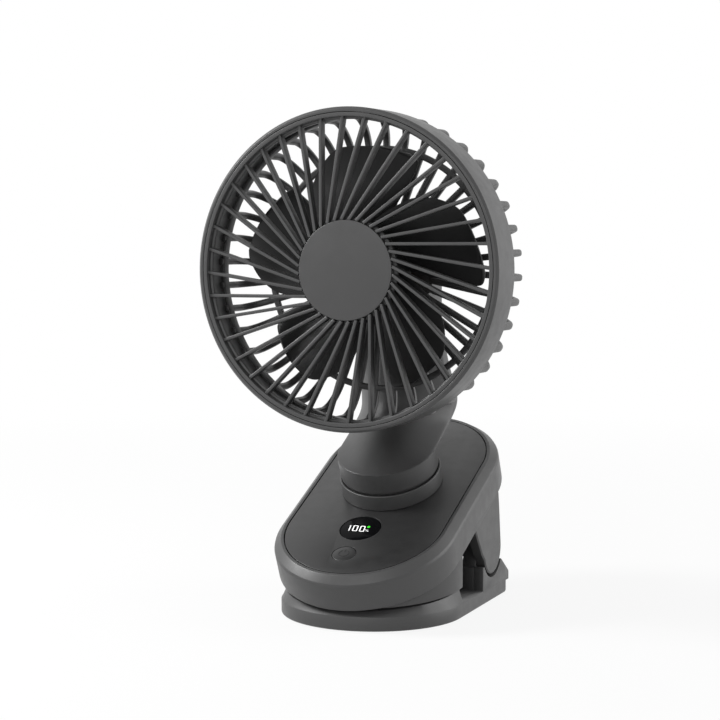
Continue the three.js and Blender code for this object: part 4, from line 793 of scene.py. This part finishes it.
# Digits, drawn in a unit box that the display's slant carries onto the window.
DIGIT_ORIGIN, DIGIT_ACROSS, DIGIT_UP = Vector((-7.5, 0.6)), Vector((8.6, -0.03)), Vector((-0.6, 4.7))
DIGIT_FOOT, DIGIT_TOP = 2.655, 2.70


def on_window(outline):
    """An outline in the unit box, at the foot and at the top of a lit segment."""
    spots = [DIGIT_ORIGIN + DIGIT_ACROSS * u + DIGIT_UP * v for u, v in outline]
    return [[(spot.x, spot.y, height) for spot in spots] for height in (DIGIT_FOOT, DIGIT_TOP)]


def nought(start, end):
    rim_u, rim_v = 0.06, 0.088
    low_out, high_out = on_window(oblong(start, end, 0, 1, 0.1, 6))
    low_in, high_in = on_window(oblong(start + rim_u, end - rim_u, rim_v, 1 - rim_v, 0.05, 6))
    return loft([low_out, high_out, high_in, low_in], closed=True)


def segment(outline):
    return loft(on_window(outline))


one = segment(rounded([(0.05, 0, 0.02), (0.11, 0, 0.02), (0.11, 1, 0.02), (0.05, 0.9, 0.02)], 3))
digits = joined(one, nought(0.26, 0.56), nought(0.68, 0.98))
dress(build("display_digits", digits, SLAB), "housing", "digit")
percent = joined(
    segment([(1.08, 0.1), (1.105, 0.1), (1.19, 0.44), (1.165, 0.44)]),
    segment(oblong(1.03, 1.09, 0.3, 0.42, 0.03, 3)), segment(oblong(1.17, 1.23, 0.1, 0.22, 0.03, 3)),
)
dress(build("display_percent", percent, SLAB), "housing", "digit")
dot = revolve(rounded([(0, DIGIT_FOOT), (0.75, DIGIT_FOOT), (0.75, 2.71, 0.05), (0, 2.72)]), 32)
dress(build("display_dot", moved(dot, 1.9, 4.85), SLAB), "housing", "dot")

button = revolve(rounded([
    (0, -0.4), (1.6, -0.4), (1.6, -0.2), (6.7, -0.2), (6.7, 0.8), (5.7, 0.8), (5.7, 2.95, 0.35),
    (3.2, 3.12, 3), (0, 3.16),
]), 80)
piece("power_button", moved(button, CONTROL_X, BUTTON_S), SLAB, "power_button", "panel")


def arc_band(inner, outer, start, end, low, high):
    """A flat band along an arc between two angles in degrees."""
    steps = 48
    rings = []
    for k in range(steps + 1):
        angle = math.radians(start + (end - start) * k / steps)
        rings.append([(r * math.cos(angle), r * math.sin(angle), h) for r, h in
                      ((inner, low), (outer, low), (outer, high), (inner, high))])
    return loft(rings)


stroke = block(oblong(-0.18, 0.18, 1.0, 3.0, 0.1, 3), 3.0, 3.2)
icon = joined(arc_band(2.25, 2.6, 125, 415, 3.0, 3.19), stroke)
dress(build("power_icon", moved(icon, CONTROL_X, BUTTON_S), SLAB), "power_button", "icon")

cover = build("bottom_cover_form", loft([
    slab_ring(3.0, SLAB_BOTTOM), slab_ring(2.7, SLAB_BOTTOM + 0.3), slab_ring(2.7, SLAB_BOTTOM + 1.8),
]), SLAB)
notch_from, notch_to = min(p[0] for p in lobe) - 0.3, max(p[0] for p in lobe) + 0.3
for side in (1, -1):
    inner, outer = side * (LOBE_INNER - 0.3), side * 46
    notch = [(inner, notch_from), (outer, notch_from), (outer, notch_to), (inner, notch_to)]
    carve(cover, block(notch, -18, -11), SLAB)
screw_spots = [(-27.7, -3.0), (27.7, -3.0), (-27.7, 74.6), (27.7, 74.6)]
for x, s in screw_spots:
    carve(cover, moved(revolve([(0, -16), (2.7, -16), (2.7, -12.6), (0, -12.6)], 40), x, s), SLAB)
dress(cover, "housing", "casing", "bottom_cover")

head_under = SLAB_BOTTOM + 1.78
screw_shape = revolve(rounded([
    (0, head_under + 6), (0.66, head_under + 6), (1.1, head_under + 4.8), (1.1, head_under),
    (2.4, head_under), (2.4, head_under - 0.84, 0.5), (1.7, head_under - 1.6, 0.4), (0, head_under - 1.68),
], 5), 40)
cross_bars = [block(oblong(-x, x, -y, y, 0, 1), -15.5, -13.7) for x, y in ((1.35, 0.28), (0.28, 1.35))]
for k, (x, s) in enumerate(screw_spots):
    screw = build(f"cover_screw_{k + 1}_form", moved(screw_shape, x, s), SLAB)
    for bar in cross_bars:
        carve(screw, moved(bar, x, s), SLAB)
    dress(screw, "housing", "steel", f"cover_screw_{k + 1}")


def wedge_ring(inset, height):
    """A ring of the upper jaw's wedge, round at the front and straight across at the rear."""
    radius, front, rear = HALF_WIDTH - 0.25 - inset, PLATE_CENTRE + 2.6, WEDGE_REAR - inset
    outline = [(x, min(y, rear)) for x, y in half_circle(radius, front, 64)]
    return [(x, y, height(y)) for x, y in outline + [(radius, rear), (-radius, rear)]]


def under_slab(y):
    """The height just below the housing's underside."""
    return (y * math.sin(SLOPE) + SLAB_BOTTOM - 0.05) / math.cos(SLOPE) + SLAB_Z


wedge = loft([
    wedge_ring(0.7, lambda y: ramp_top(y) + 0.8), wedge_ring(0.22, lambda y: ramp_top(y) + 0.95),
    wedge_ring(0, lambda y: ramp_top(y) + 1.5), wedge_ring(0, under_slab),
])
wedge = build("jaw_wedge_form", wedge)
pad_seat = ramp_ring(8.7, lambda y: ramp_top(min(y, 14.2)))
carve(wedge, loft([[(x, y, z + rise) for x, y, z in pad_seat] for rise in (0.3, 2.2)]), GROUND)
dress(wedge, "housing", "casing", "jaw_wedge")

# the spring bracket is bent sheet under the housing, with a lip that hangs down in front of the springs
sheet, lip, length, front_y = 1.4, 14.0, 46.0, 21.0
seat_top = SLAB_BOTTOM - 0.3
seat = seat_top - sheet
front_rise = (seat + front_y * math.sin(SLOPE)) / math.cos(SLOPE)
front = slab_point(front_y, SLAB_Z + front_rise)[0]
bracket = rounded([
    (front, seat_top - lip), (front + sheet, seat_top - lip), (front + sheet, seat, 0.6),
    (front + length, seat, 0.2), (front + length, seat_top, 0.2), (front, seat_top, 1.9),
], 6)
piece("spring_bracket", prism(bracket, -27, 27, 0.2), SLAB, "housing", "steel")

socket_outer = oblong(-4.5, 4.5, -1.65, 1.65, 1.62, 8)
socket_inner = oblong(-4.15, 4.15, -1.3, 1.3, 1.28, 8)
mouth = SLAB_REAR + HALF_WIDTH - 0.6
socket = loft([socket_ring(outline, place) for outline, place in (
    (socket_outer, mouth - 7.4), (socket_outer, mouth - 0.15), (grown(socket_outer, -0.12), mouth),
    (grown(socket_inner, 0.08), mouth), (socket_inner, mouth - 0.2), (socket_inner, mouth - 6.8),
)])
tongue = [(7.2, -0.35), (1.0, -0.35), (0.7, -0.1), (0.7, 0.1), (1.0, 0.35), (7.2, 0.35)]
tongue = prism([(mouth - depth, SOCKET_HEIGHT + z) for depth, z in tongue], -3.2, 3.2, 0.15)
piece("charge_socket", socket, SLAB, "housing", "steel")
dress(build("charge_socket_tongue", tongue, SLAB), "housing", "icon")

collar = revolve(rounded([
    (21.6, 3.2), (24.95, 3.2), (24.95, 11.0, 0.35), (24.1, 11.0, 0.12), (23.9, 9.9, 0.3), (21.6, 9.8),
], 5), 120)
piece("swivel_collar", moved(collar, 0, SWIVEL_S), SLAB, "housing", "casing")

# ------------------------------ neck

# Stations from the turntable up to the tilt pin: y and z of the front, of the crease and of the rear, then
# the half-width, how flat the front is drawn to the crease and how square the rear is.
NECK = [
    (7.88, 67.2, 30.10, 77.05, 52.32, 86.9, TURNTABLE_RADIUS, 0.0, 2.0),
    (12.3, 71.0, 35.0, 79.5, 55.8, 89.2, TURNTABLE_RADIUS, 0.3, 2.4),
    (18.6, 76.8, 42.0, 83.2, 60.8, 92.2, TURNTABLE_RADIUS, 0.6, 3.8),
    (26.0, 84.0, 49.9, 88.0, 65.4, 95.6, TURNTABLE_RADIUS, 0.8, 5.0),
    (32.0, 90.6, 54.8, 91.6, 68.2, 98.9, TURNTABLE_RADIUS, 0.85, 6.0),
    (36.2, 97.2, 56.7, 95.4, 69.0, 102.4, 24.2, 0.85, 6.0),
    (38.0, 104.5, 55.8, 100.8, 68.4, 107.2, 23.9, 0.8, 5.5),
    (38.4, 115.0, 52.8, 112.0, 64.2, 116.5, 22.8, 0.7, 4.0),
    (37.0, 129.5, 48.3, 127.5, 59.0, 130.0, 21.5, 0.6, 4.0),
    (34.4, 144.0, 44.0, 143.6, 53.4, 144.0, 20.6, 0.5, 4.0),
]
RING_STEPS, COVER_END, COVER_THICKNESS = 40, 88.6, 1.6


def neck_station(place):
    """A ring of the neck at a place between two stations."""
    front_y, front_z, crease_y, crease_z, rear_y, rear_z, half, flat, square = (
        smooth_through(column, place) for column in zip(*NECK))
    return {
        "front": Vector((front_y, front_z)), "crease": Vector((crease_y, crease_z)),
        "rear": Vector((rear_y, rear_z)), "half": half, "flat": max(flat, 0), "square": max(square, 2),
    }


def front_line(station, inset, end):
    """Across the front of a ring, from near the left crease to near the right one;
    an end of 90 degrees is the crease itself."""
    line = []
    reach = station["front"] - station["crease"]
    reach = reach * (1 - inset / reach.length)
    for k in range(RING_STEPS + 1):
        angle = math.radians(-end + 2 * end * k / RING_STEPS)
        bow = (1 - station["flat"]) * math.cos(angle) + station["flat"] * math.cos(angle) ** 2
        spot = station["crease"] + reach * bow
        line.append(((station["half"] - inset) * math.sin(angle), spot.x, spot.y))
    return line


def rear_line(station):
    """Across the rear of a ring, from the right crease to the left one."""
    line = []
    reach = station["rear"] - station["crease"]
    power = 2 / station["square"]
    for k in range(1, RING_STEPS):
        angle = PI * k / RING_STEPS
        spot = station["crease"] + reach * math.sin(angle) ** power
        side = math.cos(angle)
        line.append((math.copysign(abs(side) ** power, side) * station["half"], spot.x, spot.y))
    return line


places = [k * 0.25 for k in range(4 * (len(NECK) - 1) + 1)]
stations = [neck_station(place) for place in places]
hull = loft([front_line(s, 0.45, 89.2) + rear_line(s) for s in stations])
turntable = turned(revolve(rounded([
    (6, 0.4), (12, 0.4), (12, 10.3), (23.2, 10.3, 0.3), (23.4, 11.2, 0.4), (24.15, 12.3, 1.0),
    (TURNTABLE_RADIUS, TURNTABLE_TOP), (6, TURNTABLE_TOP),
], 5), 120), SLAB @ Matrix.Translation((0, SWIVEL_S, 0)))
cheek = ([(PIVOT_Y - CHEEK_RADIUS, 143.0), (PIVOT_Y + CHEEK_RADIUS, 143.0)]
         + arc(PIVOT_Y, PIVOT_Z, CHEEK_RADIUS, 0, 180, 40))
cheeks = pair(cheek, CHEEK_INNER, CHEEK_OUTER, 0.8, 4)
boss = revolve(rounded([(0, -1), (6.3, -1), (6.3, 0.35, 0.3), (0, 0.35)]), 48)
bosses = []
for side in (1, -1):
    sideways = turned(boss, Matrix.Rotation(side * PI / 2, 4, "Y"))
    bosses.append(moved(sideways, side * (CHEEK_OUTER - 0.1), PIVOT_Y, PIVOT_Z))
piece("neck_rear_shell", joined(hull, turntable, *cheeks, *bosses), GROUND, "neck", "casing", 28)


def cover_shape():
    """The front cover: a skin over the front of the rings, with its edges turned in."""
    outer = [front_line(s, 0.0, COVER_END) for s in stations]
    inner = [front_line(s, COVER_THICKNESS, COVER_END) for s in stations]
    columns = len(outer[0])
    points = [p for line in outer for p in line] + [p for line in inner for p in line]
    rows = len(outer)
    base = rows * columns
    faces = []
    for i in range(rows - 1):
        for k in range(columns - 1):
            a = i * columns + k
            faces.append([a, a + 1, a + columns + 1, a + columns])
            faces.append([base + a, base + a + columns, base + a + columns + 1, base + a + 1])
    for i in range(rows - 1):
        for k in (0, columns - 1):
            a = i * columns + k
            faces.append([a, a + columns, base + a + columns, base + a])
    for k in range(columns - 1):
        for i in (0, rows - 1):
            a = i * columns + k
            faces.append([a, a + 1, base + a + 1, base + a])
    return points, faces


piece("neck_front_cover", moved(cover_shape(), z=0.12), GROUND, "neck", "casing", 24)

# ------------------------------ head


def polar(radius, angle, height=0.0):
    return (radius * math.cos(angle), radius * math.sin(angle), height)


band = revolve(rounded([
    (HEAD_RADIUS - 2.3, -BAND_DEPTH, 0.3), (HEAD_RADIUS, -BAND_DEPTH, 0.4), (HEAD_RADIUS, -1.15, 0.35),
    (HEAD_RADIUS - 1.15, 0, 0.3), (RIM_EDGE + 0.12, 0, 0.2), (RIM_EDGE + 0.12, -3.4),
    (HEAD_RADIUS - 2.3, -3.6),
], 5), 200)
piece("shroud_band", band, HEAD, "head", "casing")


def straight_rib(start, end, width, depth, round_off):
    """A bar between two points whose third number is the height of its top."""
    along = Vector((end[0] - start[0], end[1] - start[1])).normalized()
    section = oblong(-width / 2, width / 2, -depth, 0, round_off, 3)
    return loft([[(x - along.y * across, y + along.x * across, top + height) for across, height in section]
                 for x, y, top in (start, end)])


FRONT_PHASE, FRONT_SWEEP, FRONT_TOP = math.radians(1.9), math.radians(21.3), -1.1
front_ribs = []
for k in range(RIB_COUNT):
    angle = FRONT_PHASE + 2 * PI * k / RIB_COUNT
    hub_end, rim_end = polar(23.5, angle + FRONT_SWEEP, FRONT_TOP), polar(70.6, angle, FRONT_TOP)
    front_ribs.append(straight_rib(hub_end, rim_end, 1.5, 4.4, 0.35))
rim = revolve(rounded([
    (RIM_EDGE - 0.12, -3.4), (RIM_EDGE - 0.12, 0, 0.2), (70.5, 0, 0.35), (70.5, -3.4, 0.3), (69.4, -3.6, 0.4),
    (69.4, -6.2, 0.4), (72.5, -6.2),
], 5), 200)
inner_ring = revolve(rounded([(20, -5.9), (24.8, -5.9, 0.4), (24.8, -4.05, 0.4), (20, -4.05)]), 120)
piece("front_grille", joined(rim, inner_ring, *front_ribs), HEAD, "head", "casing")

cap = revolve(rounded([(0, -3.7), (CAP_RADIUS, -3.7), (CAP_RADIUS, -1.0, 0.3), (0, -1.0)], 6), 160)
piece("centre_cap", cap, HEAD, "head", "casing")

# A rib of the rear guard: straight back from the band, round a bend, and in to the motor plate.
REAR_PHASE = math.radians(-1.9)
GUARD_RADIUS, BEND_START, BEND_WIDTH, BEND_DEPTH = 73.0, -33.0, 14.6, 12.3
rib_line = [(GUARD_RADIUS, -18.0), (GUARD_RADIUS, -26.0), (GUARD_RADIUS, BEND_START)]
for k in range(1, 13):
    angle = PI / 2 * k / 12
    rib_line.append((GUARD_RADIUS - BEND_WIDTH * (1 - math.cos(angle)),
                     BEND_START - BEND_DEPTH * math.sin(angle)))
rib_line += [(45.0, -45.35), (32.0, -45.4), (26.0, -45.4)]


def rear_rib(angle):
    """A wire-like rib that runs back from the band and curves in to the motor plate."""
    rings = []
    section = oblong(-1.6, 1.6, -3.2, 0, 1.1, 3)
    for i, (radius, height) in enumerate(rib_line):
        before = Vector(rib_line[max(i - 1, 0)])
        after = Vector(rib_line[min(i + 1, len(rib_line) - 1)])
        along = (after - before).normalized()
        outwards = Vector((-along.y, along.x))
        ring = []
        for across, depth in section:
            spot = Vector((radius, height)) + outwards * (depth + 1.6)
            x, y, z = polar(spot.x, angle, spot.y)
            ring.append((x - across * math.sin(angle), y + across * math.cos(angle), z))
        rings.append(ring)
    return loft(rings)


rear_ring = revolve(oblong(55.8, 58.9, -46.1, -43.8, 0.7, 4), 160)
rear_rim = rounded([(71.2, -24.5, 0.4), (72.45, -24.5, 0.3), (72.45, -19.5), (71.2, -19.5, 0.4)], 3)
rear_rim = revolve(rear_rim, 160)
plate = revolve(rounded([
    (3.6, -47.0), (17.4, -47.0), (17.8, -46.5, 0.3), (24.5, -46.5, 0.3), (25.0, -47.0, 0.2),
    (27.2, -47.0, 0.8), (27.2, -44.4, 0.5), (5.2, -44.4, 1.5), (5.2, -14.0), (3.6, -14.0),
], 4), 120)
ribs = [rear_rib(REAR_PHASE + 2 * PI * k / RIB_COUNT) for k in range(RIB_COUNT)]
piece("rear_grille", joined(rear_ring, rear_rim, plate, *ribs), HEAD, "head", "casing", 40)


def head_point(y, z):
    """A point of the ground's frame, given in the head's."""
    dy, dz = y - HEAD_Y, z - HEAD_Z
    sine, cosine = math.sin(HEAD_TILT), math.cos(HEAD_TILT)
    return (dy * sine + dz * cosine, dz * sine - dy * cosine)


pivot_up, pivot_out = head_point(PIVOT_Y, PIVOT_Z)
knuckle_outline = ([(pivot_up - 10.5, -47.2), (pivot_up - 8.6, -49.6), (pivot_up - 8.4, -52.0)]
                   + arc(pivot_up, pivot_out, 8.4, 180, 360, 40)
                   + [(pivot_up + 8.4, -55.0), (pivot_up + 9.4, -50.0), (pivot_up + 12.5, -47.2)])
foot = revolve(rounded([(0, -49.7), (17, -49.7, 0.7), (17, -47.3, 0.3), (0, -47.3)]), 72)
piece("tilt_knuckle", joined(prism(knuckle_outline, -10.6, 10.6, 0.7, 4), foot), HEAD, "head", "casing")

# ------------------------------ impeller

# Sections of a blade from root to tip: the radius, the angles in degrees of its rear and its front edge, and
# how deep those edges lie.
BLADE = [
    (20.8, 70.5, 144.5, 29.2, 13.0), (28.0, 67.5, 136.5, 29.9, 13.8), (35.5, 66.0, 129.0, 30.8, 14.5),
    (43.0, 65.0, 123.0, 31.6, 15.3), (50.0, 64.5, 114.5, 32.4, 16.1), (54.5, 65.0, 107.5, 32.8, 16.8),
    (56.7, 66.6, 103.6, 32.6, 17.2), (57.8, 71.0, 100.0, 31.6, 17.8),
]
BLADE_COUNT, BLADE_CAMBER, BLADE_HALF = 5, 1.6, 0.75


def blade(turn):
    """A cambered blade, thickest in the middle and thin at its edges."""
    rings = []
    sections, chord = 28, 18
    for i in range(sections + 1):
        place = (len(BLADE) - 1) * i / sections
        radius, rear, front, deep, shallow = (smooth_through(column, place) for column in zip(*BLADE))
        upper, lower = [], []
        for k in range(chord + 1):
            along = 0.5 - 0.5 * math.cos(PI * k / chord)
            angle = math.radians(rear + (front - rear) * along) + turn
            camber = BLADE_CAMBER * math.sin(PI * along)
            depth = deep + (shallow - deep) * along - camber
            half = BLADE_HALF * (0.25 + 0.75 * math.sin(PI * along) ** 0.6)
            upper.append(polar(radius, angle, half - depth))
            lower.append(polar(radius, angle, -half - depth))
        rings.append(upper + lower[::-1])
    return loft(rings)


hub = revolve(rounded([
    (0, -8.6), (19.9, -8.6), (19.9, -30), (21.5, -30, 0.3), (21.5, -7.0, 1.6), (0, -7.0),
], 6), 120)
blades = [blade(2 * PI * k / BLADE_COUNT) for k in range(BLADE_COUNT)]
piece("impeller", joined(hub, *blades), HEAD, "rotor", "blade", 45)

# ------------------------------ CAD nodes that keep their own shape

carried = {
    "circuit_board": "board", "battery_pack": "cell", "display_module": "panel", "push_switch": "steel",
    "charge_board": "board", "swivel_washer": "rubber", "swivel_retainer": "steel", "tilt_pin": "steel",
    "motor_stator": "copper", "motor_board": "board", "front_bearing": "brass", "rear_bearing": "brass",
    "rotor_cup": "steel", "rotor_magnet": "magnet", "motor_shaft": "steel",
}
for name, finish in carried.items():
    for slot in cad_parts[name].material_slots:
        slot.material = finishes[finish]
